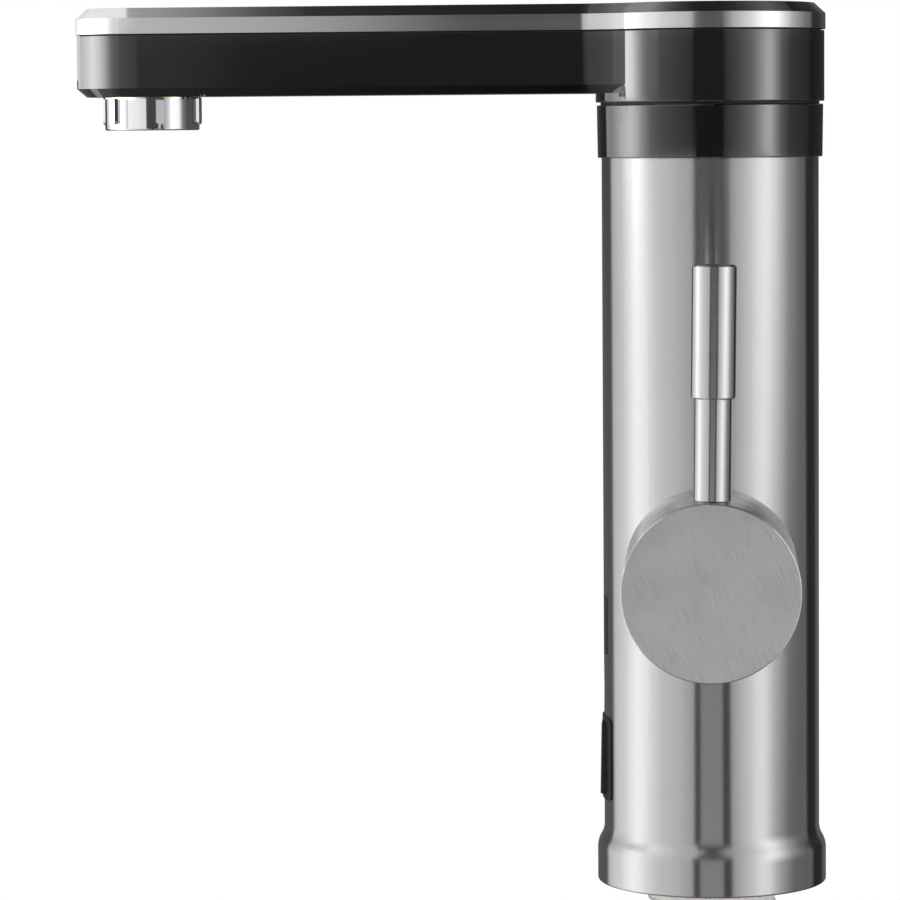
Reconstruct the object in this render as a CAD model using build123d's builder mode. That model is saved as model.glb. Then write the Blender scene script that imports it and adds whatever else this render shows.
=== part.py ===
"""Electric instant water heater tap: a heated column with a swivel spout and a side lever.

The origin is the centre of the worktop seat. +Z is up, the spout points to -X, the lever
knob faces -Y, and the temperature window and the mains switch face -X. Millimetres.
"""
from build123d import *
import math
import os

os.makedirs("parts", exist_ok=True)

# Fits
seat_gap = 0.05  # round pieces that sit in one another
slip_gap = 0.1  # pieces that are slid together and then held
run_gap = 0.05  # radial clearance of what turns or slides
past = 2.0  # how far a cut reaches past the face that it opens
edge_break = 0.2  # small chamfer on turned edges

# Steel column and its foot
tube_d = 57.0
tube_wall = 1.0
tube_h = 191.8  # worktop to the lower edge of the collar
foot_d = 60.6
foot_h = 8.8  # straight part of the foot
foot_step = 6.4  # height of the S-curve between foot and tube
rim_lift = 0.1  # the gasket keeps the steel this far off the worktop
rim_round = 0.6

# Fixing under the worktop
worktop_t = 20.0
gasket_t = 1.8
base_t = 4.7
stem_d = 34.0
stem_wall = 2.0
stem_tail = 6.5  # thread left free below the lock nut
stem_flange_w = 1.5
stem_flange_t = 2.0
clamp_washer_t = 2.5
clamp_washer_d = 52.0
lock_nut_t = 9.0
lock_nut_d = 50.0
nut_grip_count = 8
nut_grip_wall = 2.75  # left between the grips and the thread
nut_grip_l = 6.3
nut_grip_out = 1.0  # the grips are centred this far outside the nut

# Cold water inlet
inlet_d = 20.95  # G1/2 male thread
inlet_body_d = 20.0  # the plain length inside the stem
inlet_bore = 14.0
inlet_tail = 18.0  # thread that stands below the stem for the hose
inlet_y = -4.3  # the inlet stands off centre, which leaves room for the cable
inlet_flange_d = 24.8
inlet_flange_t = 2.5
inlet_spigot_d = 14.0
inlet_spigot_h = 4.0
cable_d = 7.0
grommet_wall = 0.6
grommet_flange_w = 0.9
grommet_flange_t = 1.4
grommet_tail = 8.0

# Flow switch on the inlet
flow_d = 19.0
flow_wall = 2.0
flow_seat_t = 3.0
flute_count = 4
flute_r = 1.4
plunger_h = 9.0
plunger_travel = 5.0
spring_room = 9.5  # left above the lifted plunger for the pressed spring
spring_wire_d = 0.9
spring_turns = 5
cap_plug_h = 2.5
cap_flange_t = 4.0
cap_neck_h = 6.0
reed_size = (3.0, 6.0, 14.0)

# Water tubes
pipe_d = 8.0
pipe_wall = 1.0
pipe_plug = 4.0  # how far a tube goes into its socket

# Side valve
knob_z = 84.5
barrel_d = 32.0
barrel_back = 6.0
barrel_front = 38.0  # distance of the barrel's mouth from the column's axis
cartridge_d = 25.0
cartridge_l = 25.0
cartridge_wall = 2.7
seal_t = 1.2
disc_t = 3.0
disc_port_d = 4.6
port_spread = 6.5  # the two water ports lie this far above and below the valve's axis
port_boss_d = 15.0
port_boss_h = 3.0
spindle_d = 9.0
spindle_head_t = 4.5
spline_d = 8.0
spline_l = 14.0
spindle_end = 62.0
bonnet_gap = 1.0  # between the nut and the sleeve around it
bonnet_slots = 4
bonnet_slot_w = 4.0
bonnet_wall_t = 3.7
bonnet_grip = 5.8

# Fixed sleeve, knob and lever
knob_d = 45.0
sleeve_end = 46.0
sleeve_wall = 2.5
sleeve_flange_t = 3.0
knob_gap = 0.3
knob_face = 73.5  # distance of the knob's face from the column's axis
knob_wall = 3.0
knob_front_t = 3.5
knob_edge = 0.4
knob_hub_d = 18.0
knob_hub_l = 18.0
knob_screw_d = 4.0
lever_lean = 0.7  # degrees to the right of upright
rod_d = 9.4
rod_edge_back = 1.5  # rod's front line behind the knob's face
rod_top = 75.5  # above the knob's axis
rod_chamfer = 0.6
rod_chamfer_h = 0.9
stud_d = 5.0
stud_l = 8.5
stud_boss_d = 10.0
stud_boss_floor = 1.0
grip_d = 11.3
grip_low = 48.1  # lower and upper ends of the grip, above the knob's axis
grip_high = 81.3
grip_edge = 0.4

# Heater tank
tank_d = 40.0
tank_wall = 1.0
tank_floor_t = 1.5
tank_flange_gap = 1.5  # between the tank's flange and the column's wall
tank_flange_t = 1.5
tank_seal_t = 1.2
tank_lid_t = 3.0
tank_collar_h = 2.4
tank_socket_d = 13.0
tank_screw_d = 3.0
tank_screw_count = 4
tank_screw_end = 1.0  # below the flange
screw_head_d = 5.4
screw_head_h = 1.8
tank_spacer_t = 4.0
spacer_notch_count = 3
spacer_notch_r = 4.5
element_d = 5.0
element_x = 9.0
element_y = 11.0
element_bend = 8.0
element_top_gap = 9.0
element_low_gap = 7.0
element_bush_d = 9.0
element_bush_t = 2.4
element_stub = 1.0  # bare sheath below the bushes
pin_d = 2.4
pin_l = 6.0
cutout_d = 13.0
cutout_t = 5.0
cutout_tab = (2.0, 6.0, 0.8)
cutout_tab_out = 1.0  # the tabs are centred this far outside the disc
sensor_d = 5.0
sensor_head_d = 8.0
sensor_head_h = 2.4
sensor_reach = 1.2  # below the seal
sensor_x = 12.0

# Swivel
bush_flange_t = 7.0
bush_neck_d = 28.0
bush_boss_d = 26.0
bush_boss_h = 14.6
spigot_d = 17.9
spigot_bore = 10.0
cup_floor_t = 6.0
groove_w = 4.4
groove_depth = 1.5
ring_wire_d = 1.55
ring_groove_w = 2.4
ring_groove_depth = 1.65
ring_first = 3.5  # lowest ring above the cup's floor
ring_step = 3.5
ring_last = 2.0  # highest ring above the tube's end
retaining_screw_d = 4.0
retaining_screw_l = 12.0
collar_d_low = 59.0
collar_d_high = 59.4
collar_h = 13.8
collar_grip = 7.8
collar_web_t = 2.5
collar_wall = 2.0
collar_edge = 0.3
slip_washer_t = 0.7
slip_washer_d = 57.4

# Spout
head_d = 60.0
arm_reach = 166.8
arm_w = 33.0
arm_h = 16.0
tip_round = 13.0
neck_out = 4.0  # each side of the arm comes out this far before it meets the head in a crease
neck_l = 10.7
neck_sag = 0.35  # how far the sides of the neck are hollow
neck_land = 0.5  # the last of each side, straight up to the crease
neck_round = 8.0  # where the straight arm becomes the neck
head_drop = 2.4  # the head reaches this far below the arm
arm_bevel_up = 2.2
arm_bevel_in = 2.6
housing_wall = 2.2
arm_floor_t = 2.8
lip_t = 1.2
lip_h = 1.6
cover_gap = 0.4
cover_h = 6.8
cover_proud = 0.3
cover_bevel_up = 2.7
cover_bevel_in = 2.9
cover_wall = 1.2
spigot_flange_d = 32.0
spigot_flange_t = 2.2
spigot_screw_d = 3.0
spigot_screw_count = 3
hose_d = 10.0
hose_gap = 0.2  # the hose lies this far above the flanges on the arm's floor
hose_grip = 6.0  # how far the hose is pushed over its nipples
block_wall = 1.5  # metal over the side ports of the two blocks in the arm

# Outlet and aerator
outlet_x = 147.5
nozzle_thread_d = 21.9
nozzle_flange_d = 25.6
nozzle_flange_t = 2.0
nozzle_body_d = 17.0
nozzle_shelf_t = 1.0  # between its lower and its upper bore
aerator_d = 24.9
aerator_h = 8.7
aerator_gap = 0.1
aerator_rim_d = 25.8
aerator_rim_t = 0.5
aerator_edge = 0.5
rib_reach = 1.15
rib_w = 2.2
rib_l = 6.7
rib_count = 6
rib_turn = 16.5  # degrees of the first rib from the -Y direction, towards +X
lip_bore = 19.2
lip_floor_t = 1.5
insert_flange_t = 1.5
insert_body_d = 18.6
insert_hole_d = 1.7
insert_pitch = 2.6
insert_rows = 7
insert_rim_w = 1.2
insert_wall = 1.0
insert_recess = 0.4  # above the nut's lower edge
insert_top_gap = 1.5  # below the arm
aerator_gasket_t = 1.2

# Temperature window
window_w = 17.1
window_h = 15.4
window_z = 68.7
window_t = 0.9
window_lip = 1.4
window_lip_t = 1.0
window_corner = 0.8
display_size = (5.5, 14.4, 12.4)
display_board_size = (1.6, 22.0, 22.0)

# Mains switch
switch_z = 33.3
bezel_w = 22.6
bezel_h = 21.9
bezel_corner = 1.5
bezel_proud = 0.45
skirt_w = 19.6
skirt_h = 21.0
skirt_depth = 6.4
rocker_w = 14.8
rocker_h = 18.9
rocker_gap_side = 0.2
rocker_gap_end = 0.35
rocker_proud_top = 0.55
rocker_proud_low = 0.9
rocker_pivot_depth = 2.8
rocker_depth = 5.8
rocker_edge = 0.4
switch_pin_d = 2.0
plunger_tab = (3.0, 4.0, 4.0)
switch_box_w = 19.0
switch_box_depth = 11.5
switch_pocket = (5.0, 12.0, 12.0)

# Electronics
board_y = 15.0
board_size = (28.0, 1.6, 76.0)
board_z = 20.0
relay_size = (18.0, 8.0, 15.0)
relay_z = 52.0
terminal_size = (18.0, 8.0, 12.0)
terminal_poles = 3
terminal_hole_d = 3.6
terminal_hole_l = 4.0
terminal_z = 26.0

# Radii and levels that follow from the sizes above
tube_r = tube_d / 2
tube_in = tube_r - tube_wall
foot_r = foot_d / 2
foot_in = foot_r - tube_wall
base_top = gasket_t + base_t
stem_top = base_top + stem_flange_t
clamp_top = -worktop_t
nut_top = clamp_top - clamp_washer_t
stem_end = nut_top - lock_nut_t - stem_tail
inlet_end = stem_end - inlet_tail
nut_grip_r = (lock_nut_d - stem_d) / 2 - nut_grip_wall + nut_grip_out
stem_in = stem_d / 2 - stem_wall
grommet_r = cable_d / 2 + grommet_wall
grommet_y = inlet_y + inlet_d / 2 + grommet_r + 4 * slip_gap
inlet_flat = grommet_y - grommet_r - grommet_flange_w - slip_gap
flow_z = stem_top + inlet_flange_t
flow_seat_z = flow_z + inlet_spigot_h + flow_seat_t
flow_in = flow_d / 2 - flow_wall
plunger_top = flow_seat_z + plunger_h
cap_low = plunger_top + plunger_travel + spring_room
flow_top = cap_low + cap_plug_h
cap_top = flow_top + cap_flange_t + cap_neck_h
pipe_r = pipe_d / 2
valve_low = knob_z - barrel_d / 2 - port_boss_h
valve_high = knob_z + barrel_d / 2 + port_boss_h
cartridge_back = barrel_front - cartridge_l
seal_back = cartridge_back
disc_back = seal_back + seal_t
moving_back = disc_back + disc_t + run_gap
spindle_back = moving_back + disc_t
bonnet_d = knob_d - 2 * sleeve_wall - 2 * bonnet_gap
nut_back = barrel_front - bonnet_grip
bonnet_end = barrel_front + bonnet_wall_t
rod_u = knob_face - rod_edge_back - rod_d / 2
knob_back = sleeve_end + knob_gap
knob_r = knob_d / 2
rod_seat = math.sqrt(knob_r**2 - (rod_d / 2 + slip_gap) ** 2)
collar_top = tube_h + collar_h
tube_top = tube_h + collar_grip
bush_low = tube_top - bush_flange_t - bush_boss_h
cup_floor = bush_low + cup_floor_t
tank_z = valve_high + tank_collar_h + slip_gap
tank_flange_d = 2 * (tube_in - tank_flange_gap)
lid_top = bush_low - slip_gap - port_boss_h
tank_top = lid_top - tank_lid_t - tank_seal_t
head_z = collar_top + slip_washer_t
arm_z = head_z + head_drop
floor_z = arm_z + arm_floor_t
shoulder_z = arm_z + arm_h
cover_z = shoulder_z + cover_gap
top_z = cover_z + cover_h
hose_level = floor_z + max(spigot_flange_t, nozzle_flange_t) + hose_gap + hose_d / 2
block_top = hose_level + pipe_r + block_wall
aerator_top = arm_z - aerator_gap
aerator_low = aerator_top - aerator_h
insert_z = aerator_low + lip_floor_t
nozzle_low = insert_z + insert_flange_t + aerator_gasket_t
groove_z = tube_top - bush_flange_t / 2
switch_pivot_x = tube_r - rocker_pivot_depth
switch_back_x = tube_r - skirt_depth

# Planes: the valve plane looks out along -Y, the face plane out along -X
valve_plane = Plane(origin=(0, 0, knob_z), x_dir=(1, 0, 0), z_dir=(0, -1, 0))
lean = math.radians(lever_lean)
lever_up = (math.sin(lean), 0, math.cos(lean))
lever_plane = Plane(
    origin=(0, -rod_u, knob_z), x_dir=(math.cos(lean), 0, -math.sin(lean)), z_dir=lever_up
)


def face_plane(height):
    """The plane through the column's axis that looks out along -X, at a height."""
    return Plane(origin=(0, 0, height), x_dir=(0, -1, 0), z_dir=(-1, 0, 0))


def round_at(plane, outer_d, inner_d, low, high, mode=Mode.ADD, at=(0, 0)):
    """Add a disc or a ring to the part in hand, between two offsets of a plane."""
    with BuildSketch(plane.offset(low)) as outline:
        with Locations(at):
            Circle(outer_d / 2)
            if inner_d > 0:
                Circle(inner_d / 2, mode=Mode.SUBTRACT)
    extrude(outline.sketch, amount=high - low, mode=mode)


def block_at(plane, width, height, low, high, mode=Mode.ADD, corner=0.0, at=(0, 0)):
    """Add a block with its outline on a plane, between two offsets of that plane."""
    with BuildSketch(plane.offset(low)) as outline:
        with Locations(at):
            if corner > 0:
                RectangleRounded(width, height, corner)
            else:
                Rectangle(width, height)
    extrude(outline.sketch, amount=high - low, mode=mode)


def finish_part(builder, name):
    """Label a finished piece and write it under that name."""
    builder.part.label = name
    export_step(builder.part, f"parts/{name}.step")


# Column

with BuildPart() as body_shell:
    # The wall is drawn as one closed profile: foot, S-curve and tube, outside and inside
    swing = (foot_r - tube_r) / 2
    curve_r = (swing**2 + (foot_step / 2) ** 2) / (2 * swing)
    turn = math.degrees(math.asin(foot_step / 2 / curve_r))
    step_top = foot_h + foot_step
    with BuildSketch(Plane.XZ):
        with BuildLine():
            Line((foot_r, rim_lift), (foot_r, foot_h))
            CenterArc((foot_r - curve_r, foot_h), curve_r, 0, turn)
            CenterArc((tube_r + curve_r, step_top), curve_r, 180, turn)
            Line((tube_r, step_top), (tube_r, tube_top))
            Line((tube_r, tube_top), (tube_in, tube_top))
            Line((tube_in, tube_top), (tube_in, step_top))
            CenterArc((tube_r + curve_r, step_top), curve_r + tube_wall, 180, turn)
            CenterArc((foot_r - curve_r, foot_h), curve_r - tube_wall, 0, turn)
            Line((foot_in, foot_h), (foot_in, rim_lift))
            Line((foot_in, rim_lift), (foot_r, rim_lift))
        make_face()
    revolve(axis=Axis.Z)
    rim = body_shell.edges().filter_by(GeomType.CIRCLE).filter_by_position(Axis.Z, 0, rim_lift + 0.01)
    fillet(rim.sort_by(SortBy.RADIUS)[-1], min(rim_round, tube_wall * 0.6))
    # Holes for the valve, the window and the switch
    outside = tube_r + past
    round_at(valve_plane, barrel_d + 2 * slip_gap, 0, 0, outside, Mode.SUBTRACT)
    window_plane = face_plane(window_z)
    block_at(window_plane, window_w, window_h, 0, outside, Mode.SUBTRACT, window_corner)
    switch_plane = face_plane(switch_z)
    hole_w = skirt_w + 2 * slip_gap
    hole_h = skirt_h + 2 * slip_gap
    block_at(switch_plane, hole_w, hole_h, 0, outside, Mode.SUBTRACT)
finish_part(body_shell, "body_shell")

with BuildPart() as base_plate:
    round_at(Plane.XY, 2 * (foot_in - slip_gap), stem_d + 2 * slip_gap, gasket_t, base_top)
finish_part(base_plate, "base_plate")

with BuildPart() as base_gasket:
    round_at(Plane.XY, 2 * (foot_in - 2 * slip_gap), stem_d + 4 * slip_gap, 0, gasket_t)
finish_part(base_gasket, "base_gasket")

with BuildPart() as mounting_stem:
    round_at(Plane.XY, stem_d, 2 * stem_in, stem_end, base_top)
    round_at(Plane.XY, stem_d + 2 * stem_flange_w, 0, base_top, stem_top)
    with Locations((0, inlet_y, stem_top)):
        Hole(inlet_body_d / 2 + seat_gap, stem_flange_t)
    with Locations((0, grommet_y, stem_top)):
        Hole(grommet_r + seat_gap, stem_flange_t)
finish_part(mounting_stem, "mounting_stem")

with BuildPart() as clamp_washer:
    round_at(Plane.XY, clamp_washer_d, stem_d + 2 * slip_gap, nut_top, clamp_top)
finish_part(clamp_washer, "clamp_washer")

with BuildPart() as lock_nut:
    round_at(Plane.XY, lock_nut_d, 0, nut_top - lock_nut_t, nut_top)
    with BuildSketch(Plane.XY.offset(nut_top - lock_nut_t)):
        with PolarLocations(lock_nut_d / 2 + nut_grip_out, nut_grip_count):
            Circle(nut_grip_r)
    extrude(amount=nut_grip_l, mode=Mode.SUBTRACT)
    round_at(Plane.XY, stem_d + 2 * seat_gap, 0, nut_top - lock_nut_t, nut_top, Mode.SUBTRACT)
finish_part(lock_nut, "lock_nut")

with BuildPart() as inlet_shank:
    centre = (0, inlet_y)
    round_at(Plane.XY, inlet_d, 0, inlet_end, stem_end, at=centre)
    round_at(Plane.XY, inlet_body_d, 0, stem_end, stem_top, at=centre)
    round_at(Plane.XY, inlet_flange_d, 0, stem_top, flow_z, at=centre)
    round_at(Plane.XY, inlet_spigot_d, 0, flow_z, flow_z + inlet_spigot_h, at=centre)
    # The flange has a flat beside the cable
    with BuildSketch(Plane.XY.offset(stem_top)):
        with Locations((0, inlet_flat + inlet_flange_d / 2)):
            Rectangle(2 * inlet_flange_d, inlet_flange_d)
    extrude(amount=inlet_flange_t, mode=Mode.SUBTRACT)
    round_at(Plane.XY, inlet_bore, 0, inlet_end, stem_top, Mode.SUBTRACT, at=centre)
    spigot_in = inlet_spigot_d - 2 * flow_wall
    spigot_top = flow_z + inlet_spigot_h
    round_at(Plane.XY, spigot_in, 0, stem_top, spigot_top, Mode.SUBTRACT, at=centre)
finish_part(inlet_shank, "inlet_shank")

with BuildPart() as cable_grommet:
    centre = (0, grommet_y)
    round_at(Plane.XY, 2 * grommet_r, 0, base_top - grommet_tail, stem_top, at=centre)
    flange_d = 2 * (grommet_r + grommet_flange_w)
    round_at(Plane.XY, flange_d, 0, stem_top, stem_top + grommet_flange_t, at=centre)
    end_z = stem_top + grommet_flange_t
    round_at(Plane.XY, cable_d, 0, base_top - grommet_tail, end_z, Mode.SUBTRACT, at=centre)
finish_part(cable_grommet, "cable_grommet")

# Flow switch

with BuildPart() as flow_switch_body:
    centre = (0, inlet_y)
    round_at(Plane.XY, flow_d, 0, flow_z, flow_top, at=centre)
    socket_top = flow_z + inlet_spigot_h
    socket_d = inlet_spigot_d + 2 * seat_gap
    round_at(Plane.XY, socket_d, 0, flow_z, socket_top, Mode.SUBTRACT, at=centre)
    seat_d = inlet_spigot_d - 2 * flow_wall
    round_at(Plane.XY, seat_d, 0, socket_top, flow_seat_z, Mode.SUBTRACT, at=centre)
    round_at(Plane.XY, 2 * flow_in, 0, flow_seat_z, flow_top, Mode.SUBTRACT, at=centre)
finish_part(flow_switch_body, "flow_switch_body")

with BuildPart() as flow_plunger:
    # A magnet cup with flutes that let the water past
    centre = (0, inlet_y)
    plunger_d = 2 * (flow_in - run_gap)
    round_at(Plane.XY, plunger_d, 0, flow_seat_z, plunger_top, at=centre)
    cup_d = plunger_d - 2 * flow_wall
    round_at(Plane.XY, cup_d, 0, flow_seat_z + flow_wall, plunger_top, Mode.SUBTRACT, at=centre)
    with BuildSketch(Plane.XY.offset(flow_seat_z)):
        with Locations(centre):
            with PolarLocations(plunger_d / 2, flute_count):
                Circle(flute_r)
    extrude(amount=plunger_h, mode=Mode.SUBTRACT)
finish_part(flow_plunger, "flow_plunger")

with BuildPart() as plunger_spring:
    # It stands between the floor of the plunger's cup and the cap
    spring_low = flow_seat_z + flow_wall + spring_wire_d / 2
    spring_high = cap_low - spring_wire_d / 2
    spring_r = flow_in - run_gap - flow_wall - slip_gap - spring_wire_d
    spring_l = spring_high - spring_low
    with BuildLine(Plane(origin=(0, inlet_y, spring_low))):
        coil = Helix(pitch=spring_l / spring_turns, height=spring_l, radius=spring_r)
    with BuildSketch(Plane(origin=coil @ 0, z_dir=coil % 0)):
        Circle(spring_wire_d / 2)
    sweep(path=coil, is_frenet=True)
finish_part(plunger_spring, "plunger_spring")

with BuildPart() as flow_switch_cap:
    centre = (0, inlet_y)
    round_at(Plane.XY, 2 * (flow_in - seat_gap), 0, cap_low, flow_top, at=centre)
    round_at(Plane.XY, flow_d, 0, flow_top, flow_top + cap_flange_t, at=centre)
    round_at(Plane.XY, pipe_d + 2 * flow_wall, 0, flow_top + cap_flange_t, cap_top, at=centre)
    bore_d = pipe_d - 2 * pipe_wall
    round_at(Plane.XY, bore_d, 0, cap_low, cap_top, Mode.SUBTRACT, at=centre)
    socket_d = pipe_d + 2 * seat_gap
    round_at(Plane.XY, socket_d, 0, cap_top - pipe_plug, cap_top, Mode.SUBTRACT, at=centre)
finish_part(flow_switch_cap, "flow_switch_cap")

with BuildPart() as reed_switch:
    wide, deep, tall = reed_size
    reed_at = (flow_d / 2 + slip_gap + wide / 2, inlet_y)
    block_at(Plane.XY, wide, deep, plunger_top, plunger_top + tall, at=reed_at)
finish_part(reed_switch, "reed_switch")

with BuildPart() as inlet_tube:
    low = cap_top - pipe_plug
    high = valve_low + pipe_plug
    round_at(Plane.XY, pipe_d, pipe_d - 2 * pipe_wall, low, high, at=(0, inlet_y))
finish_part(inlet_tube, "inlet_tube")

# Side valve

with BuildPart() as valve_body:
    round_at(valve_plane, barrel_d, 0, -barrel_back, barrel_front)
    # Bosses for the tubes below and above
    round_at(Plane.XY, port_boss_d, 0, valve_low, knob_z, at=(0, inlet_y))
    round_at(Plane.XY, port_boss_d, 0, knob_z, valve_high)
    round_at(valve_plane, cartridge_d, 0, cartridge_back, barrel_front, Mode.SUBTRACT)
    # Sockets and ports: cold water comes in below, and leaves above
    port_d = pipe_d - 2 * pipe_wall
    socket_d = pipe_d + 2 * seat_gap
    for port_y, start, end in (
        (inlet_y, valve_low, knob_z - port_spread),
        (0, valve_high, knob_z + port_spread),
    ):
        inward = math.copysign(pipe_plug, end - start)
        for hole_d, stop in ((port_d, end), (socket_d, start + inward)):
            low, high = min(start, stop), max(start, stop)
            round_at(Plane.XY, hole_d, 0, low, high, Mode.SUBTRACT, at=(0, port_y))
    for side, port_y in ((-1, inlet_y), (1, 0)):
        at = (0, side * port_spread)
        round_at(valve_plane, disc_port_d, 0, -port_y, cartridge_back, Mode.SUBTRACT, at=at)
finish_part(valve_body, "valve_body")

with BuildPart() as cartridge_seal:
    seal_d = cartridge_d - 2 * cartridge_wall
    round_at(valve_plane, seal_d, 0, seal_back, disc_back)
    for side in (-1, 1):
        at = (0, side * port_spread)
        round_at(valve_plane, disc_port_d, 0, seal_back, disc_back, Mode.SUBTRACT, at=at)
finish_part(cartridge_seal, "cartridge_seal")

disc_d = cartridge_d - 2 * seat_gap - 2 * cartridge_wall - 2 * run_gap

with BuildPart() as fixed_disc:
    round_at(valve_plane, disc_d, 0, disc_back, disc_back + disc_t)
    for side in (-1, 1):
        at = (0, side * port_spread)
        round_at(valve_plane, disc_port_d, 0, disc_back, disc_back + disc_t, Mode.SUBTRACT, at=at)
finish_part(fixed_disc, "fixed_disc")

with BuildPart() as moving_disc:
    # A pocket on one side of the disc joins the two ports when the lever turns
    round_at(valve_plane, disc_d, 0, moving_back, spindle_back)
    with BuildSketch(valve_plane.offset(moving_back)):
        SlotOverall(2 * port_spread + disc_port_d, disc_port_d)
    extrude(amount=disc_t / 2, mode=Mode.SUBTRACT)
finish_part(moving_disc, "moving_disc")

with BuildPart() as cartridge_housing:
    case_d = cartridge_d - 2 * seat_gap
    case_in = case_d - 2 * cartridge_wall
    case_wall_z = spindle_back + spindle_head_t + run_gap
    round_at(valve_plane, case_d, case_in, disc_back, case_wall_z)
    round_at(valve_plane, case_d, spindle_d + 2 * run_gap, case_wall_z, barrel_front)
finish_part(cartridge_housing, "cartridge_housing")

with BuildPart() as valve_spindle:
    round_at(valve_plane, disc_d, 0, spindle_back, spindle_back + spindle_head_t)
    round_at(valve_plane, spindle_d, 0, spindle_back, spindle_end - spline_l)
    round_at(valve_plane, spline_d, 0, spindle_end - spline_l, spindle_end)
finish_part(valve_spindle, "valve_spindle")

with BuildPart() as bonnet_nut:
    # A round nut with slots in its front edge for a pin spanner
    round_at(valve_plane, bonnet_d, 0, nut_back, bonnet_end)
    with BuildSketch(valve_plane.offset(bonnet_end)):
        with PolarLocations(bonnet_d / 2, bonnet_slots):
            Rectangle(bonnet_slot_w, bonnet_slot_w)
    extrude(amount=-bonnet_wall_t, mode=Mode.SUBTRACT)
    inner_d = barrel_d + 2 * seat_gap
    round_at(valve_plane, inner_d, 0, nut_back, barrel_front, Mode.SUBTRACT)
    hole_d = spindle_d + 4 * slip_gap
    round_at(valve_plane, hole_d, 0, barrel_front, bonnet_end, Mode.SUBTRACT)
finish_part(bonnet_nut, "bonnet_nut")

with BuildPart() as valve_sleeve:
    # The sleeve's back follows the round column, and an inner flange sits under the nut
    round_at(valve_plane, knob_d, knob_d - 2 * sleeve_wall, 0, sleeve_end)
    flange_in = barrel_d + 2 * slip_gap
    round_at(valve_plane, knob_d - sleeve_wall, flange_in, nut_back - sleeve_flange_t, nut_back)
    round_at(Plane.XY, tube_d + 2 * seat_gap, 0, 0, tube_h, Mode.SUBTRACT)
    chamfer(valve_sleeve.edges().group_by(Axis.Y)[0].sort_by(SortBy.RADIUS)[-1], edge_break)
finish_part(valve_sleeve, "valve_sleeve")

# Knob and lever

with BuildPart() as knob:
    round_at(valve_plane, knob_d, 0, knob_back, knob_face)
    front_edge = knob.edges().group_by(Axis.Y)[0]
    fillet(front_edge, knob_edge)
    chamfer(knob.edges().group_by(Axis.Y)[-1], edge_break)
    cavity_end = knob_face - knob_front_t
    cavity_d = knob_d - 2 * knob_wall
    round_at(valve_plane, cavity_d, 0, knob_back, cavity_end, Mode.SUBTRACT)
    hub_back = cavity_end - knob_hub_l
    round_at(valve_plane, knob_hub_d, 0, hub_back, cavity_end)
    # Boss for the lever's stud, under the knob's top
    round_at(lever_plane, stud_boss_d, 0, rod_seat - stud_l - stud_boss_floor, knob_r - knob_wall / 2)
    bore_d = spline_d + 2 * seat_gap
    round_at(valve_plane, bore_d, 0, hub_back, spindle_end + slip_gap, Mode.SUBTRACT)
    # Flat seat of the rod, the stud's hole, and the way in for the grub screw
    seat_d = rod_d + 2 * slip_gap
    round_at(lever_plane, seat_d, 0, rod_seat, knob_r + past, Mode.SUBTRACT)
    stud_hole_d = stud_d + 2 * seat_gap
    round_at(lever_plane, stud_hole_d, 0, rod_seat - stud_l, knob_r, Mode.SUBTRACT)
    screw_u = hub_back + knob_hub_l / 3
    screw_plane = Plane(origin=(0, -screw_u, knob_z), x_dir=(1, 0, 0), z_dir=(0, 0, -1))
    screw_hole_d = knob_screw_d + 2 * seat_gap
    round_at(screw_plane, screw_hole_d, 0, spline_d / 4, knob_r + past, Mode.SUBTRACT)
finish_part(knob, "knob")

with BuildPart() as knob_screw:
    round_at(screw_plane, knob_screw_d, 0, spline_d / 2 + seat_gap, knob_hub_d / 2)
    with BuildSketch(screw_plane.offset(knob_hub_d / 2)):
        RegularPolygon(knob_screw_d / 4, 6)
    extrude(amount=-knob_screw_d / 2, mode=Mode.SUBTRACT)
finish_part(knob_screw, "knob_screw")

with BuildPart() as lever_rod:
    round_at(lever_plane, rod_d, 0, rod_seat, rod_top)
    foot_edge = lever_rod.edges().sort_by(Axis.Z)[0]
    foot_face = lever_rod.faces().sort_by(Axis.Z)[0]
    chamfer(foot_edge, rod_chamfer, rod_chamfer_h, reference=foot_face)
    round_at(lever_plane, stud_d, 0, rod_seat - stud_l + slip_gap, rod_seat)
finish_part(lever_rod, "lever_rod")

with BuildPart() as lever_grip:
    round_at(lever_plane, grip_d, 0, grip_low, grip_high)
    ends = lever_grip.edges().filter_by(GeomType.CIRCLE)
    chamfer(ends, grip_edge)
    round_at(lever_plane, rod_d + 2 * seat_gap, 0, grip_low, rod_top + slip_gap, Mode.SUBTRACT)
finish_part(lever_grip, "lever_grip")

# Heater tank

with BuildPart() as feed_tube:
    low = valve_high - pipe_plug
    high = tank_z + tank_floor_t
    round_at(Plane.XY, pipe_d, pipe_d - 2 * pipe_wall, low, high)
finish_part(feed_tube, "feed_tube")

element_feet = ((-element_x, element_y), (element_x, element_y))

with BuildPart() as heater_tank:
    round_at(Plane.XY, tank_d, 0, tank_z, tank_top)
    round_at(Plane.XY, tank_flange_d, 0, tank_top - tank_flange_t, tank_top)
    round_at(Plane.XY, tank_socket_d, 0, tank_z - tank_collar_h, tank_z)
    tank_in = tank_d - 2 * tank_wall
    round_at(Plane.XY, tank_in, 0, tank_z + tank_floor_t, tank_top, Mode.SUBTRACT)
    feed_d = pipe_d + 2 * seat_gap
    low = tank_z - tank_collar_h
    round_at(Plane.XY, feed_d, 0, low, tank_z + tank_floor_t, Mode.SUBTRACT)
    for foot in element_feet:
        hole_d = element_d + 2 * seat_gap
        round_at(Plane.XY, hole_d, 0, tank_z, tank_z + tank_floor_t, Mode.SUBTRACT, at=foot)
    with BuildSketch(Plane.XY.offset(tank_top - tank_flange_t)):
        with PolarLocations((tank_flange_d + tank_d) / 4, tank_screw_count, 45):
            Circle(tank_screw_d / 2 + seat_gap)
    extrude(amount=tank_flange_t, mode=Mode.SUBTRACT)
finish_part(heater_tank, "heater_tank")

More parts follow.
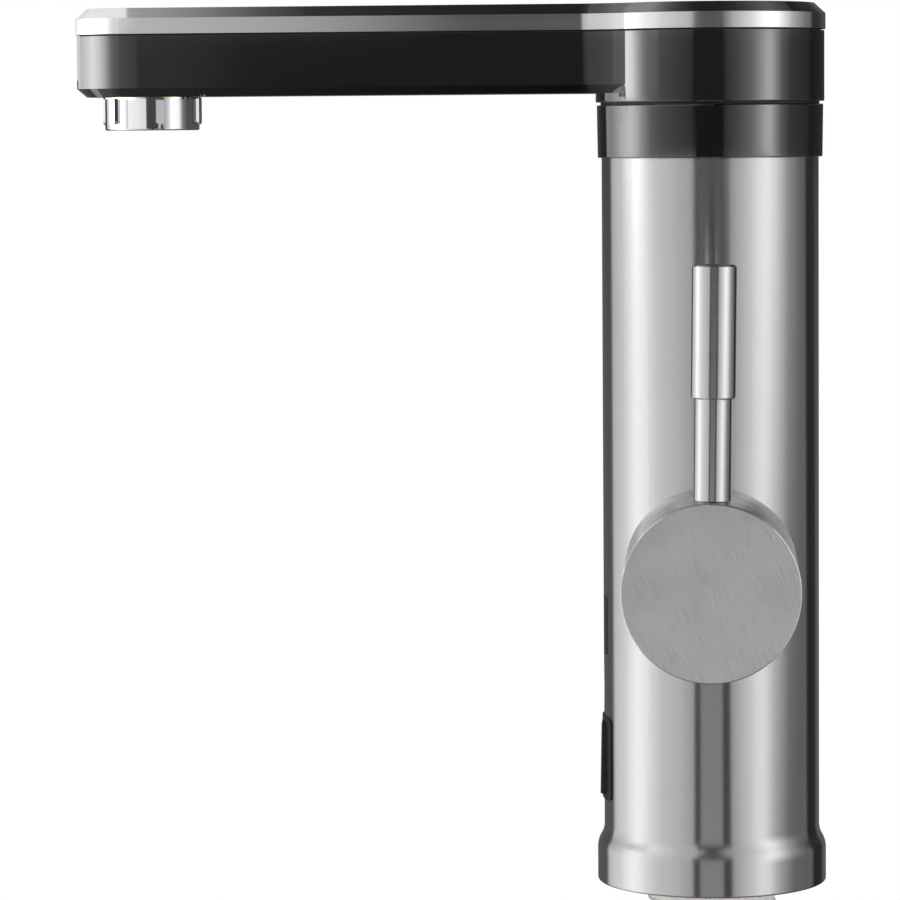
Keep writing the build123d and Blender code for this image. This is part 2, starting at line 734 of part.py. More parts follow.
with BuildPart() as tank_spacer:
    # A moulded ring that centres the tank in the column, with gaps for the wires
    spacer_z = tank_z + 2 * tank_floor_t
    outer_d = 2 * (tube_in - slip_gap)
    round_at(Plane.XY, outer_d, tank_d + 2 * seat_gap, spacer_z, spacer_z + tank_spacer_t)
    with BuildSketch(Plane.XY.offset(spacer_z)):
        with PolarLocations(tube_in, spacer_notch_count, 90):
            Circle(spacer_notch_r)
    extrude(amount=tank_spacer_t, mode=Mode.SUBTRACT)
finish_part(tank_spacer, "tank_spacer")

with BuildPart() as heating_element:
    # One tubular element, folded up, over, down, across and back, with its two feet through the floor
    low = tank_z - element_bush_t - element_stub
    high = tank_top - element_top_gap
    bottom = tank_z + tank_floor_t + element_low_gap
    x, y = element_x, element_y
    route = (
        (-x, y, low),
        (-x, y, high),
        (-x, -y, high),
        (-x, -y, bottom),
        (x, -y, bottom),
        (x, -y, high),
        (x, y, high),
        (x, y, low),
    )
    with BuildLine() as element_line:
        FilletPolyline(*route, radius=element_bend)
    with BuildSketch(Plane.XY.offset(low)):
        with Locations((-x, y)):
            Circle(element_d / 2)
    sweep(path=element_line.wires()[0])
    for foot in element_feet:
        round_at(Plane.XY, pin_d, 0, low - pin_l, low, at=foot)
finish_part(heating_element, "heating_element")

with BuildPart() as element_bushes:
    for foot in element_feet:
        bore_d = element_d + 2 * seat_gap
        round_at(Plane.XY, element_bush_d, bore_d, tank_z - element_bush_t, tank_z, at=foot)
finish_part(element_bushes, "element_bushes")

with BuildPart() as thermal_cutout:
    back_plane = Plane(origin=(0, 0, (tank_z + tank_top) / 2), x_dir=(-1, 0, 0), z_dir=(0, 1, 0))
    low = tank_d / 2 + seat_gap
    round_at(back_plane, cutout_d, 0, low, low + cutout_t)
    for side in (-1, 1):
        tab_at = (side * cutout_d / 4, cutout_d / 2 + cutout_tab_out)
        tab_w, tab_l, tab_t = cutout_tab
        tab_low = low + cutout_t / 2
        block_at(back_plane, tab_w, tab_l, tab_low, tab_low + tab_t, at=tab_at)
finish_part(thermal_cutout, "thermal_cutout")

screw_pcd = (tank_flange_d + tank_d) / 2

with BuildPart() as tank_seal:
    seal_z = tank_top
    round_at(Plane.XY, tank_flange_d, tank_d - 2 * tank_wall, seal_z, seal_z + tank_seal_t)
    with BuildSketch(Plane.XY.offset(seal_z)):
        with PolarLocations(screw_pcd / 2, tank_screw_count, 45):
            Circle(tank_screw_d / 2 + seat_gap)
    extrude(amount=tank_seal_t, mode=Mode.SUBTRACT)
finish_part(tank_seal, "tank_seal")

with BuildPart() as tank_lid:
    lid_z = tank_top + tank_seal_t
    round_at(Plane.XY, tank_flange_d, 0, lid_z, lid_top)
    round_at(Plane.XY, tank_socket_d, 0, lid_top, lid_top + port_boss_h)
    round_at(Plane.XY, pipe_d - 2 * pipe_wall, 0, lid_z, lid_top, Mode.SUBTRACT)
    socket_d = pipe_d + 2 * seat_gap
    socket_z = lid_top + port_boss_h - pipe_plug
    round_at(Plane.XY, socket_d, 0, socket_z, lid_top + port_boss_h, Mode.SUBTRACT)
    sensor_at = (sensor_x, 0)
    round_at(Plane.XY, sensor_d + 2 * seat_gap, 0, lid_z, lid_top, Mode.SUBTRACT, at=sensor_at)
    with BuildSketch(Plane.XY.offset(lid_z)):
        with PolarLocations(screw_pcd / 2, tank_screw_count, 45):
            Circle(tank_screw_d / 2 + seat_gap)
    extrude(amount=tank_lid_t, mode=Mode.SUBTRACT)
finish_part(tank_lid, "tank_lid")

with BuildPart() as tank_screws:
    shank_low = tank_top - tank_flange_t - tank_screw_end
    with BuildSketch(Plane.XY.offset(shank_low)):
        with PolarLocations(screw_pcd / 2, tank_screw_count, 45):
            Circle(tank_screw_d / 2)
    extrude(amount=lid_top - shank_low)
    with BuildSketch(Plane.XY.offset(lid_top)):
        with PolarLocations(screw_pcd / 2, tank_screw_count, 45):
            Circle(screw_head_d / 2)
    extrude(amount=screw_head_h)
finish_part(tank_screws, "tank_screws")

with BuildPart() as temperature_sensor:
    round_at(Plane.XY, sensor_d, 0, lid_z - tank_seal_t - sensor_reach, lid_top, at=sensor_at)
    with BuildSketch(Plane.XY.offset(lid_top)):
        with Locations(sensor_at):
            RegularPolygon(sensor_head_d / 2, 6)
    extrude(amount=sensor_head_h)
finish_part(temperature_sensor, "temperature_sensor")

with BuildPart() as riser_tube:
    low = lid_top + port_boss_h - pipe_plug
    high = bush_low + pipe_plug
    round_at(Plane.XY, pipe_d, pipe_d - 2 * pipe_wall, low, high)
finish_part(riser_tube, "riser_tube")

# Swivel

with BuildPart() as swivel_bush:
    cup_d = spigot_d + 2 * run_gap
    round_at(Plane.XY, bush_boss_d, 0, bush_low, tube_top)
    round_at(Plane.XY, 2 * (tube_in - slip_gap), 0, tube_top - bush_flange_t, tube_top)
    round_at(Plane.XY, bush_neck_d, 0, tube_top, collar_top - slip_gap)
    round_at(Plane.XY, cup_d, 0, cup_floor, collar_top, Mode.SUBTRACT)
    round_at(Plane.XY, pipe_d - 2 * pipe_wall, 0, bush_low, cup_floor, Mode.SUBTRACT)
    socket_d = pipe_d + 2 * seat_gap
    round_at(Plane.XY, socket_d, 0, bush_low, bush_low + pipe_plug, Mode.SUBTRACT)
    back_plane = Plane(origin=(0, 0, groove_z), x_dir=(-1, 0, 0), z_dir=(0, 1, 0))
    hole_d = retaining_screw_d + 2 * seat_gap
    round_at(back_plane, hole_d, 0, spigot_d / 4, tube_r, Mode.SUBTRACT)
finish_part(swivel_bush, "swivel_bush")

with BuildPart() as retaining_screw:
    tip = spigot_d / 2 - groove_depth + 2 * slip_gap
    screw_end = tip + retaining_screw_l
    round_at(back_plane, retaining_screw_d, 0, tip, screw_end)
    with BuildSketch(back_plane.offset(screw_end)):
        RegularPolygon(retaining_screw_d / 4, 6)
    extrude(amount=-retaining_screw_d / 2, mode=Mode.SUBTRACT)
finish_part(retaining_screw, "retaining_screw")

with BuildPart() as collar_ring:
    low_r = collar_d_low / 2
    high_r = collar_d_high / 2
    over_tube = tube_r + seat_gap
    ledge_z = tube_top + slip_gap
    web_z = collar_top - collar_web_t
    neck_r = bush_neck_d / 2 + slip_gap
    with BuildSketch(Plane.XZ):
        with BuildLine():
            Polyline(
                (over_tube, tube_h),
                (low_r, tube_h),
                (high_r, collar_top),
                (neck_r, collar_top),
                (neck_r, web_z),
                (high_r - collar_wall, web_z),
                (high_r - collar_wall, ledge_z),
                (over_tube, ledge_z),
                close=True,
            )
        make_face()
    revolve(axis=Axis.Z)
    for end in (0, -1):
        edge = collar_ring.edges().filter_by(GeomType.CIRCLE).group_by(Axis.Z)[end]
        fillet(edge.sort_by(SortBy.RADIUS)[-1], collar_edge)
finish_part(collar_ring, "collar_ring")

with BuildPart() as swivel_washer:
    inner_d = bush_neck_d + 2 * run_gap
    round_at(Plane.XY, slip_washer_d, inner_d, collar_top, head_z)
finish_part(swivel_washer, "swivel_washer")

ring_levels = (cup_floor + ring_first, cup_floor + ring_first + ring_step, tube_top + ring_last)

with BuildPart() as spout_spigot:
    spigot_low = cup_floor + 4 * slip_gap
    round_at(Plane.XY, spigot_d, 0, spigot_low, block_top)
    round_at(Plane.XY, spigot_flange_d, 0, floor_z, floor_z + spigot_flange_t)
    # Nipple towards the arm
    nipple_plane = Plane(origin=(0, 0, hose_level), x_dir=(0, -1, 0), z_dir=(-1, 0, 0))
    nipple_start = spigot_d / 2 + slip_gap
    nipple_end = nipple_start + hose_grip
    round_at(nipple_plane, pipe_d, 0, 0, nipple_end)
    round_at(Plane.XY, spigot_bore, 0, spigot_low, hose_level, Mode.SUBTRACT)
    round_at(nipple_plane, pipe_d - 2 * pipe_wall, 0, 0, nipple_end, Mode.SUBTRACT)
    # Grooves for the retaining screw and the seal rings
    grooves = [(groove_z, groove_w, groove_depth)]
    grooves += [(level, ring_groove_w, ring_groove_depth) for level in ring_levels]
    for level, width, depth in grooves:
        low, high = level - width / 2, level + width / 2
        round_at(Plane.XY, spigot_d + past, spigot_d - 2 * depth, low, high, Mode.SUBTRACT)
    spigot_screw_r = (spigot_flange_d + spigot_d) / 4
    with BuildSketch(Plane.XY.offset(floor_z)):
        with PolarLocations(spigot_screw_r, spigot_screw_count):
            Circle(spigot_screw_d / 2 + seat_gap)
    extrude(amount=spigot_flange_t, mode=Mode.SUBTRACT)
finish_part(spout_spigot, "spout_spigot")

with BuildPart() as spigot_o_rings:
    ring_r = spigot_d / 2 - ring_groove_depth + ring_wire_d / 2 + seat_gap
    for level in ring_levels:
        with Locations((0, 0, level)):
            Torus(ring_r, ring_wire_d / 2)
finish_part(spigot_o_rings, "spigot_o_rings")

with BuildPart() as spigot_screws:
    flange_top = floor_z + spigot_flange_t
    with BuildSketch(Plane.XY.offset(floor_z - arm_floor_t)):
        with PolarLocations(spigot_screw_r, spigot_screw_count):
            Circle(spigot_screw_d / 2)
    extrude(amount=flange_top - floor_z + arm_floor_t)
    with BuildSketch(Plane.XY.offset(flange_top)):
        with PolarLocations(spigot_screw_r, spigot_screw_count):
            Circle(screw_head_d / 2)
    extrude(amount=screw_head_h)
finish_part(spigot_screws, "spigot_screws")


# Spout

def arm_plan(grow=0.0):
    """The arm seen from above, rounded tip, straight sides and wider neck, moved out by grow."""
    meet_y = arm_w / 2 + neck_out
    meet_x = math.sqrt((head_d / 2) ** 2 - meet_y**2)
    start_x = meet_x + neck_l
    with BuildSketch() as plan:
        with Locations((-(arm_reach + start_x) / 2, 0)):
            Rectangle(arm_reach - start_x, arm_w)
        fillet(plan.vertices().group_by(Axis.X)[0], min(tip_round, arm_w * 0.48))
        with BuildSketch(mode=Mode.PRIVATE) as neck:
            with BuildLine():
                start, meet = Vector(-start_x, -arm_w / 2), Vector(-meet_x, -meet_y)
                hollow_end = meet - (meet - start).normalized() * neck_land
                side = SagittaArc(start, hollow_end, neck_sag)
                # The straight land runs on inside the head, where the plan is closed
                inside = Line(side @ 1, side @ 1 + (side % 1) * meet_x / 2)
                mirror(about=Plane.XZ)
                Line(side @ 0, (-start_x, arm_w / 2))
                Line(inside @ 1, ((inside @ 1).X, -(inside @ 1).Y))
            make_face()
        add(neck.sketch)
        starts = plan.vertices().filter_by_position(Axis.X, -start_x - 0.01, -start_x + 0.01)
        fillet(starts, neck_round)
        if grow != 0:
            offset(amount=grow, kind=Kind.INTERSECTION)
    return plan.sketch


def head_plan(grow=0.0):
    """The round head seen from above, moved out by grow."""
    with BuildSketch() as plan:
        Circle(head_d / 2 + grow)
    return plan.sketch


def plan_at(grow, low, high, mode=Mode.ADD):
    """Add the plan of the whole spout as a plate between two heights."""
    for plan in (arm_plan(grow), head_plan(grow)):
        extrude(Plane.XY.offset(low) * plan, amount=high - low, mode=mode)


def bevelled_at(plan, low, high, side, inward, along):
    """Add a plan as a plate with a bevel round its upper face, side -1, or its lower one, side 0."""
    with BuildPart(mode=Mode.PRIVATE) as plate:
        extrude(Plane.XY.offset(low) * plan, amount=high - low)
        face = plate.faces().sort_by(Axis.Z)[side]
        chamfer(face.edges(), inward, along, reference=face)
    add(plate.part)


with BuildPart() as spout_housing:
    bevelled_at(arm_plan(), arm_z, shoulder_z, 0, arm_bevel_in, arm_bevel_up)
    round_at(Plane.XY, head_d, 0, head_z, shoulder_z)
    low_edge = spout_housing.edges().filter_by(GeomType.CIRCLE).group_by(Axis.Z)[0]
    fillet(low_edge, collar_edge)
    plan_at(-housing_wall + lip_t, shoulder_z, shoulder_z + lip_h)
    plan_at(-housing_wall, floor_z, shoulder_z + lip_h, Mode.SUBTRACT)
    # Bores for the spigot and the outlet, and blind holes for the flange screws
    round_at(Plane.XY, spigot_d + 2 * seat_gap, 0, head_z, floor_z, Mode.SUBTRACT)
    nozzle_hole_d = nozzle_thread_d + 2 * slip_gap
    outlet_at = (-outlet_x, 0)
    round_at(Plane.XY, nozzle_hole_d, 0, arm_z, floor_z, Mode.SUBTRACT, at=outlet_at)
    with BuildSketch(Plane.XY.offset(floor_z - arm_floor_t)):
        with PolarLocations(spigot_screw_r, spigot_screw_count):
            Circle(spigot_screw_d / 2 + seat_gap)
    extrude(amount=arm_floor_t, mode=Mode.SUBTRACT)
finish_part(spout_housing, "spout_housing")

with BuildPart() as spout_cover:
    for plan in (arm_plan(cover_proud), head_plan(cover_proud)):
        bevelled_at(plan, cover_z, top_z, -1, cover_bevel_in, cover_bevel_up)
    inset = cover_proud - cover_wall
    with BuildPart(mode=Mode.PRIVATE) as hollow:
        for plan in (arm_plan(inset), head_plan(inset)):
            bevelled_at(plan, cover_z, top_z - cover_wall, -1, cover_bevel_in, cover_bevel_up)
    add(hollow.part, mode=Mode.SUBTRACT)
finish_part(spout_cover, "spout_cover")

with BuildPart() as spout_tube:
    hose_end = outlet_x - nozzle_body_d / 2 - slip_gap
    hose_in = pipe_d + 2 * seat_gap
    round_at(nipple_plane, hose_d, hose_in, nipple_start, hose_end)
finish_part(spout_tube, "spout_tube")

with BuildPart() as outlet_nozzle:
    flange_top = floor_z + nozzle_flange_t
    round_at(Plane.XY, nozzle_thread_d, 0, nozzle_low, floor_z, at=outlet_at)
    round_at(Plane.XY, nozzle_flange_d, 0, floor_z, flange_top, at=outlet_at)
    round_at(Plane.XY, nozzle_body_d, 0, flange_top, block_top, at=outlet_at)
    round_at(nipple_plane, pipe_d, 0, hose_end - hose_grip, outlet_x)
    # The lower bore takes the aerator's insert, the upper one meets the side port
    nozzle_bore = insert_body_d + 2 * slip_gap
    shelf_z = flange_top - nozzle_shelf_t
    round_at(Plane.XY, nozzle_bore, 0, nozzle_low, shelf_z, Mode.SUBTRACT, at=outlet_at)
    round_at(Plane.XY, pipe_d, 0, shelf_z, hose_level, Mode.SUBTRACT, at=outlet_at)
    bore_d = pipe_d - 2 * pipe_wall
    round_at(nipple_plane, bore_d, 0, hose_end - hose_grip, outlet_x, Mode.SUBTRACT)
finish_part(outlet_nozzle, "outlet_nozzle")

nut_in = nozzle_thread_d + 2 * seat_gap

with BuildPart() as aerator_gasket:
    low = insert_z + insert_flange_t
    gasket_d = nut_in - 2 * slip_gap
    round_at(Plane.XY, gasket_d, insert_body_d + 2 * slip_gap, low, nozzle_low, at=outlet_at)
finish_part(aerator_gasket, "aerator_gasket")

with BuildPart() as aerator_insert:
    # A short honeycomb under an open cup, with the flange that the nut holds
    insert_low = aerator_low + insert_recess
    insert_top = arm_z - insert_top_gap
    round_at(Plane.XY, lip_bore - 2 * slip_gap, 0, insert_low, insert_z, at=outlet_at)
    flange_d = nut_in - 2 * slip_gap
    round_at(Plane.XY, flange_d, 0, insert_z, insert_z + insert_flange_t, at=outlet_at)
    round_at(Plane.XY, insert_body_d, 0, insert_z, insert_top, at=outlet_at)
    cup_d = insert_body_d - 2 * insert_wall
    round_at(Plane.XY, cup_d, 0, insert_z + insert_flange_t, insert_top, Mode.SUBTRACT, at=outlet_at)
    with BuildSketch(Plane.XY.offset(insert_low)) as honeycomb:
        with Locations(outlet_at):
            with HexLocations(insert_pitch / 2, insert_rows, insert_rows, major_radius=False):
                RegularPolygon(insert_hole_d / 2, 6, major_radius=False)
        with Locations(outlet_at):
            Circle(lip_bore / 2 - insert_rim_w, mode=Mode.INTERSECT)
    extrude(amount=insert_z + insert_flange_t - insert_low, mode=Mode.SUBTRACT)
finish_part(aerator_insert, "aerator_insert")

with BuildPart() as aerator_nut:
    round_at(Plane.XY, aerator_d, 0, aerator_low, aerator_top, at=outlet_at)
    fillet(aerator_nut.edges().group_by(Axis.Z)[0], aerator_edge)
    rim_z = aerator_top - aerator_rim_t
    round_at(Plane.XY, aerator_rim_d, 0, rim_z, aerator_top, at=outlet_at)
    # Grip ribs that start in the rim and have round lower ends
    root_r = (nut_in + aerator_d) / 4
    rib_top = aerator_top - aerator_rim_t / 2
    straight_l = rib_l + aerator_rim_t / 2 - rib_w / 2
    for number in range(rib_count):
        angle = math.radians(rib_turn + 360 * number / rib_count)
        out = (math.sin(angle), -math.cos(angle), 0)
        rib_plane = Plane(origin=(-outlet_x, 0, rib_top), x_dir=(0, 0, 1), z_dir=out)
        with BuildSketch(rib_plane.offset(root_r)) as rib:
            with Locations((-straight_l / 2, 0)):
                Rectangle(straight_l, rib_w)
            with Locations((-straight_l, 0)):
                Circle(rib_w / 2)
        extrude(rib.sketch, amount=aerator_d / 2 + rib_reach - root_r)
    round_at(Plane.XY, nut_in, 0, insert_z, aerator_top, Mode.SUBTRACT, at=outlet_at)
    round_at(Plane.XY, lip_bore, 0, aerator_low, insert_z, Mode.SUBTRACT, at=outlet_at)
finish_part(aerator_nut, "aerator_nut")

# Temperature display

with BuildPart() as display_window:
    # The pane is flush with the column, and its lip rests against the wall from inside
    pane_w = window_w - 2 * slip_gap
    pane_h = window_h - 2 * slip_gap
    block_at(window_plane, pane_w, pane_h, 0, tube_r, corner=window_corner)
    low = window_z - window_h
    high = window_z + window_h
    round_at(Plane.XY, tube_d, 2 * (tube_r - window_t), low, high, Mode.INTERSECT)
    with BuildPart(mode=Mode.PRIVATE) as lip:
        lip_w = window_w + 2 * window_lip
        lip_h_out = window_h + 2 * window_lip
        block_at(window_plane, lip_w, lip_h_out, 0, tube_r, corner=window_corner)
        lip_out = 2 * (tube_in - seat_gap)
        round_at(Plane.XY, lip_out, lip_out - 2 * window_lip_t, low, high, Mode.INTERSECT)
        block_at(window_plane, pane_w, pane_h, lip_out / 2 - window_lip_t, tube_r, corner=window_corner)
        round_at(Plane.XY, tube_d - window_t, lip_out - 2 * window_lip_t, low, high, Mode.INTERSECT)
    add(lip.part)
finish_part(display_window, "display_window")

with BuildPart() as display_module:
    depth, wide, tall = display_size
    board_t, board_w, board_h = display_board_size
    lip_in = tube_in - seat_gap - window_lip_t
    front = math.sqrt(lip_in**2 - (wide / 2) ** 2) - slip_gap
    block_at(window_plane, wide, tall, front - depth, front)
    block_at(window_plane, board_w, board_h, front - depth - board_t, front - depth)
finish_part(display_module, "display_module")

# Mains switch

with BuildPart() as switch_bezel:
    low = switch_z - bezel_h
    high = switch_z + bezel_h
    block_at(switch_plane, bezel_w, bezel_h, 0, outside, corner=bezel_corner)
    frame_out = 2 * (tube_r + bezel_proud)
    round_at(Plane.XY, frame_out, tube_d + 2 * seat_gap, low, high, Mode.INTERSECT)
    with BuildPart(mode=Mode.PRIVATE) as skirt:
        block_at(switch_plane, skirt_w, skirt_h, switch_back_x, outside)
        round_at(Plane.XY, frame_out - bezel_proud, 0, low, high, Mode.INTERSECT)
    add(skirt.part)
    opening_w = rocker_w + 2 * rocker_gap_side
    opening_h = rocker_h + 2 * rocker_gap_end
    block_at(switch_plane, opening_w, opening_h, 0, outside, Mode.SUBTRACT)
    pin_hole_plane = Plane(origin=(-switch_pivot_x, 0, switch_z), x_dir=(1, 0, 0), z_dir=(0, -1, 0))
    hole_d = switch_pin_d + 2 * seat_gap
    round_at(pin_hole_plane, hole_d, 0, -skirt_w / 2, skirt_w / 2, Mode.SUBTRACT)
finish_part(switch_bezel, "switch_bezel")

with BuildPart() as switch_rocker:
    # Drawn from the side: the lower half stands out a little further than the upper one
    top = rocker_h / 2
    with BuildSketch(pin_hole_plane.offset(-rocker_w / 2)):
        with BuildLine():
            Polyline(
                (switch_pivot_x - tube_r - rocker_proud_top, top),
                (switch_pivot_x - tube_r - rocker_proud_low, -top),
                (switch_pivot_x - tube_r - rocker_proud_low + rocker_depth, -top),
                (switch_pivot_x - tube_r - rocker_proud_low + rocker_depth, top),
                close=True,
            )
        make_face()
    extrude(amount=rocker_w)
    outer = switch_rocker.faces().sort_by(Axis.X)[0]
    fillet(outer.edges(), rocker_edge)
    tab_depth, tab_w, tab_h = plunger_tab
    inner_x = tube_r + rocker_proud_low - rocker_depth
    block_at(switch_plane, tab_w, tab_h, inner_x - tab_depth, inner_x)
    hole_d = switch_pin_d + 2 * run_gap
    round_at(pin_hole_plane, hole_d, 0, -rocker_w / 2, rocker_w / 2, Mode.SUBTRACT)
finish_part(switch_rocker, "switch_rocker")

with BuildPart() as switch_pin:
    round_at(pin_hole_plane, switch_pin_d, 0, -skirt_w / 2 + slip_gap, skirt_w / 2 - slip_gap)
finish_part(switch_pin, "switch_pin")

with BuildPart() as switch_body:
    pocket_depth, pocket_w, pocket_h = switch_pocket
    front = switch_back_x - slip_gap
    block_at(switch_plane, switch_box_w, switch_box_w, front - switch_box_depth, front)
    block_at(switch_plane, pocket_w, pocket_h, front - pocket_depth, front, Mode.SUBTRACT)
finish_part(switch_body, "switch_body")

# Electronics

with BuildPart() as control_board:
    wide, thick, tall = board_size
    back_wall = Plane(origin=(0, 0, board_z + tall / 2), x_dir=(-1, 0, 0), z_dir=(0, 1, 0))
    block_at(back_wall, wide, tall, board_y, board_y + thick)
finish_part(control_board, "control_board")

with BuildPart() as power_relay:
    relay_w, relay_t, relay_h = relay_size
    relay_at = (0, relay_z + relay_h / 2 - back_wall.origin.Z)
    block_at(back_wall, relay_w, relay_h, board_y - relay_t, board_y, at=relay_at)
finish_part(power_relay, "power_relay")

with BuildPart() as terminal_block:
    block_w, block_t, block_tall = terminal_size
    terminal_at = (0, terminal_z + block_tall / 2 - back_wall.origin.Z)
    behind = board_y + thick
    block_at(back_wall, block_w, block_tall, behind, behind + block_t, at=terminal_at)
    with BuildSketch(back_wall.offset(behind + block_t)):
        with Locations(terminal_at):
            with GridLocations(block_w / terminal_poles, 1, terminal_poles, 1):
                Circle(terminal_hole_d / 2)
    extrude(amount=-terminal_hole_l, mode=Mode.SUBTRACT)
finish_part(terminal_block, "terminal_block")

print(f"Spout reach {arm_reach:.1f}, overall height above the worktop {top_z:.1f} mm")
print(f"Below the worktop {-inlet_end:.1f} mm, outlet above it {aerator_low:.1f} mm")
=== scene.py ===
# %% [markdown]
# # An electric instant water heater tap, dressed
#
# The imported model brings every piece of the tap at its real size: a steel column, a side
# valve with its lever, a black swivel spout and the heater inside. This lesson gives each
# piece the finish that it has in the hand, winds the threads and the spring that the packed
# model has plainer, and lights the tap like a packshot. All lengths are metres.

# %% Load the frame
import bpy
import math
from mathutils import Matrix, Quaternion, Vector


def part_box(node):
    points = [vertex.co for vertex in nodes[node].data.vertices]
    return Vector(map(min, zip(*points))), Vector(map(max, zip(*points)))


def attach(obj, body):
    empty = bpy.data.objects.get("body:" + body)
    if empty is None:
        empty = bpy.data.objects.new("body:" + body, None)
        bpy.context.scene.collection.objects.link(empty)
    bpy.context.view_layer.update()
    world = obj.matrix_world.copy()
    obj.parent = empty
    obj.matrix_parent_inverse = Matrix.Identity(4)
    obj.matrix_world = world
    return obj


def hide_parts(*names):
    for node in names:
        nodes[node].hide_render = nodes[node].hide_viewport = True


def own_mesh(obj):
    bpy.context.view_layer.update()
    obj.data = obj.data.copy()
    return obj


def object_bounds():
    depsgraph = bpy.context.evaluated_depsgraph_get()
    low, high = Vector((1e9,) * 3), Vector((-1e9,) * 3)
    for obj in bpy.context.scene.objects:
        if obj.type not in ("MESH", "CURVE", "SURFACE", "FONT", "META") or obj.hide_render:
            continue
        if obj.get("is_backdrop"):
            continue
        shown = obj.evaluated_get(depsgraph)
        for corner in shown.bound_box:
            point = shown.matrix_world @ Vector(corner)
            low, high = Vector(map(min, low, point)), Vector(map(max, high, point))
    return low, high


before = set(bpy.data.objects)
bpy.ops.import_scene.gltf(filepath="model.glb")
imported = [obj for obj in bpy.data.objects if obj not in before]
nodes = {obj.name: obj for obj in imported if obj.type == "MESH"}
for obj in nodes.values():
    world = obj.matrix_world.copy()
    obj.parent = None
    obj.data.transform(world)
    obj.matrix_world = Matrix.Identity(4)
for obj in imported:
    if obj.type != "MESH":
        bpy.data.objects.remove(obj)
cad_low, cad_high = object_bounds()
MM = 0.001
print("nodes", len(nodes), "box", [round(v, 4) for v in (*cad_low, *cad_high)])

# %% [markdown]
# ## The camera
#
# A long lens a metre away keeps the column's sides parallel, as in a catalogue picture.
# It stands straight in front of the column and is turned to the left, so that the spout
# fills the frame, and it leans by less than half a degree. A direction and a roll say that
# more plainly than three angles, so they are turned into angles here.

# %% Camera
camera_place = (0, -1.0879, 0.2002)
view_dir = Vector((-0.06320771, 0.9949323, -0.07819525))
camera_roll = math.radians(-0.4403)
camera_data = bpy.data.cameras.new("camera")
camera_data.sensor_width = 36
camera_data.lens = 164.68
camera_data.clip_start = 0.05
camera = bpy.data.objects.new("camera", camera_data)
bpy.context.scene.collection.objects.link(camera)
camera.location = camera_place
aim = view_dir.to_track_quat("-Z", "Y") @ Quaternion((0, 0, 1), camera_roll)
camera.rotation_euler = aim.to_euler()
bpy.context.scene.camera = camera
print("camera at", camera_place, "with a lens of", camera_data.lens, "mm")


# %% [markdown]
# ## Two helpers
#
# Colours are picked on a screen, so they are written as sRGB hex values, and one function
# turns them to the linear values that light is added up in. Every material is a small tree
# of nodes, so one function adds a node, sets it and links what feeds it. A ramp's stops are
# part of its settings: each is a place from 0 to 1 and a light from 0 to 1.

# %% Helpers for colours and nodes
def linear(colour, alpha=1.0):
    """The linear colour of an sRGB hex value such as "#c8c8c6"."""
    parts = [int(colour[i : i + 2], 16) / 255 for i in (1, 3, 5)]
    return (*[p / 12.92 if p <= 0.04045 else ((p + 0.055) / 1.055) ** 2.4 for p in parts], alpha)


def add_node(tree, kind, inputs=None, stops=(), **settings):
    """Add a node. An input is given by its name or number, and is a value or a socket."""
    node = tree.nodes.new(kind)
    for name, value in settings.items():
        setattr(node, name, value)
    for name, value in (inputs or {}).items():
        if isinstance(value, bpy.types.NodeSocket):
            tree.links.new(value, node.inputs[name])
        else:
            node.inputs[name].default_value = value
    if stops:
        elements = node.color_ramp.elements
        while len(elements) < len(stops):
            elements.new(0.5)
        for element, (place, light) in zip(elements, stops):
            element.position = place
        for element, (place, light) in zip(elements, stops):
            element.color = (light, light, light, 1)
    return node


def new_tree(owner):
    """The emptied node tree of a material or a world."""
    owner.use_nodes = True
    owner.node_tree.nodes.clear()
    return owner.node_tree


print("white is", linear("#ffffff"))

# %% [markdown]
# ## The world
#
# A packshot stands in white. The world is plain white wherever the camera, a reflection or
# a clear piece looks at it, and a softer white where it only lights matt surfaces, because
# the lamps add the rest. A light path node knows which kind of look it is.

# %% World
fill_strength, white_strength = 0.55, 1.0
world = bpy.data.worlds.new("white_studio")
bpy.context.scene.world = world
tree = new_tree(world)
path = add_node(tree, "ShaderNodeLightPath")
seen = add_node(
    tree, "ShaderNodeMath",
    {0: path.outputs["Is Camera Ray"], 1: path.outputs["Is Glossy Ray"]}, operation="MAXIMUM",
)
seen = add_node(
    tree, "ShaderNodeMath",
    {0: seen.outputs[0], 1: path.outputs["Is Transmission Ray"]}, operation="MAXIMUM",
)
fill = add_node(tree, "ShaderNodeBackground", {"Color": (1, 1, 1, 1), "Strength": fill_strength})
white = add_node(tree, "ShaderNodeBackground", {"Color": (1, 1, 1, 1), "Strength": white_strength})
both = add_node(
    tree, "ShaderNodeMixShader", {0: seen.outputs[0], 1: fill.outputs[0], 2: white.outputs[0]}
)
add_node(tree, "ShaderNodeOutputWorld", {"Surface": both.outputs[0]})
print("world", world.name)

# %% [markdown]
# ## The floor
#
# The floor is a matt white paper sheet just under the inlet. Near the tap it is lit like any
# sheet, so it takes the soft shadow. Further out more and more of its light is its own, and
# it runs into the white with no edge. Seen from below it is clear, so that the underside of
# the tap can be looked at. Paper has fibres of 1 to 2 mm, which give it a faint mottle.

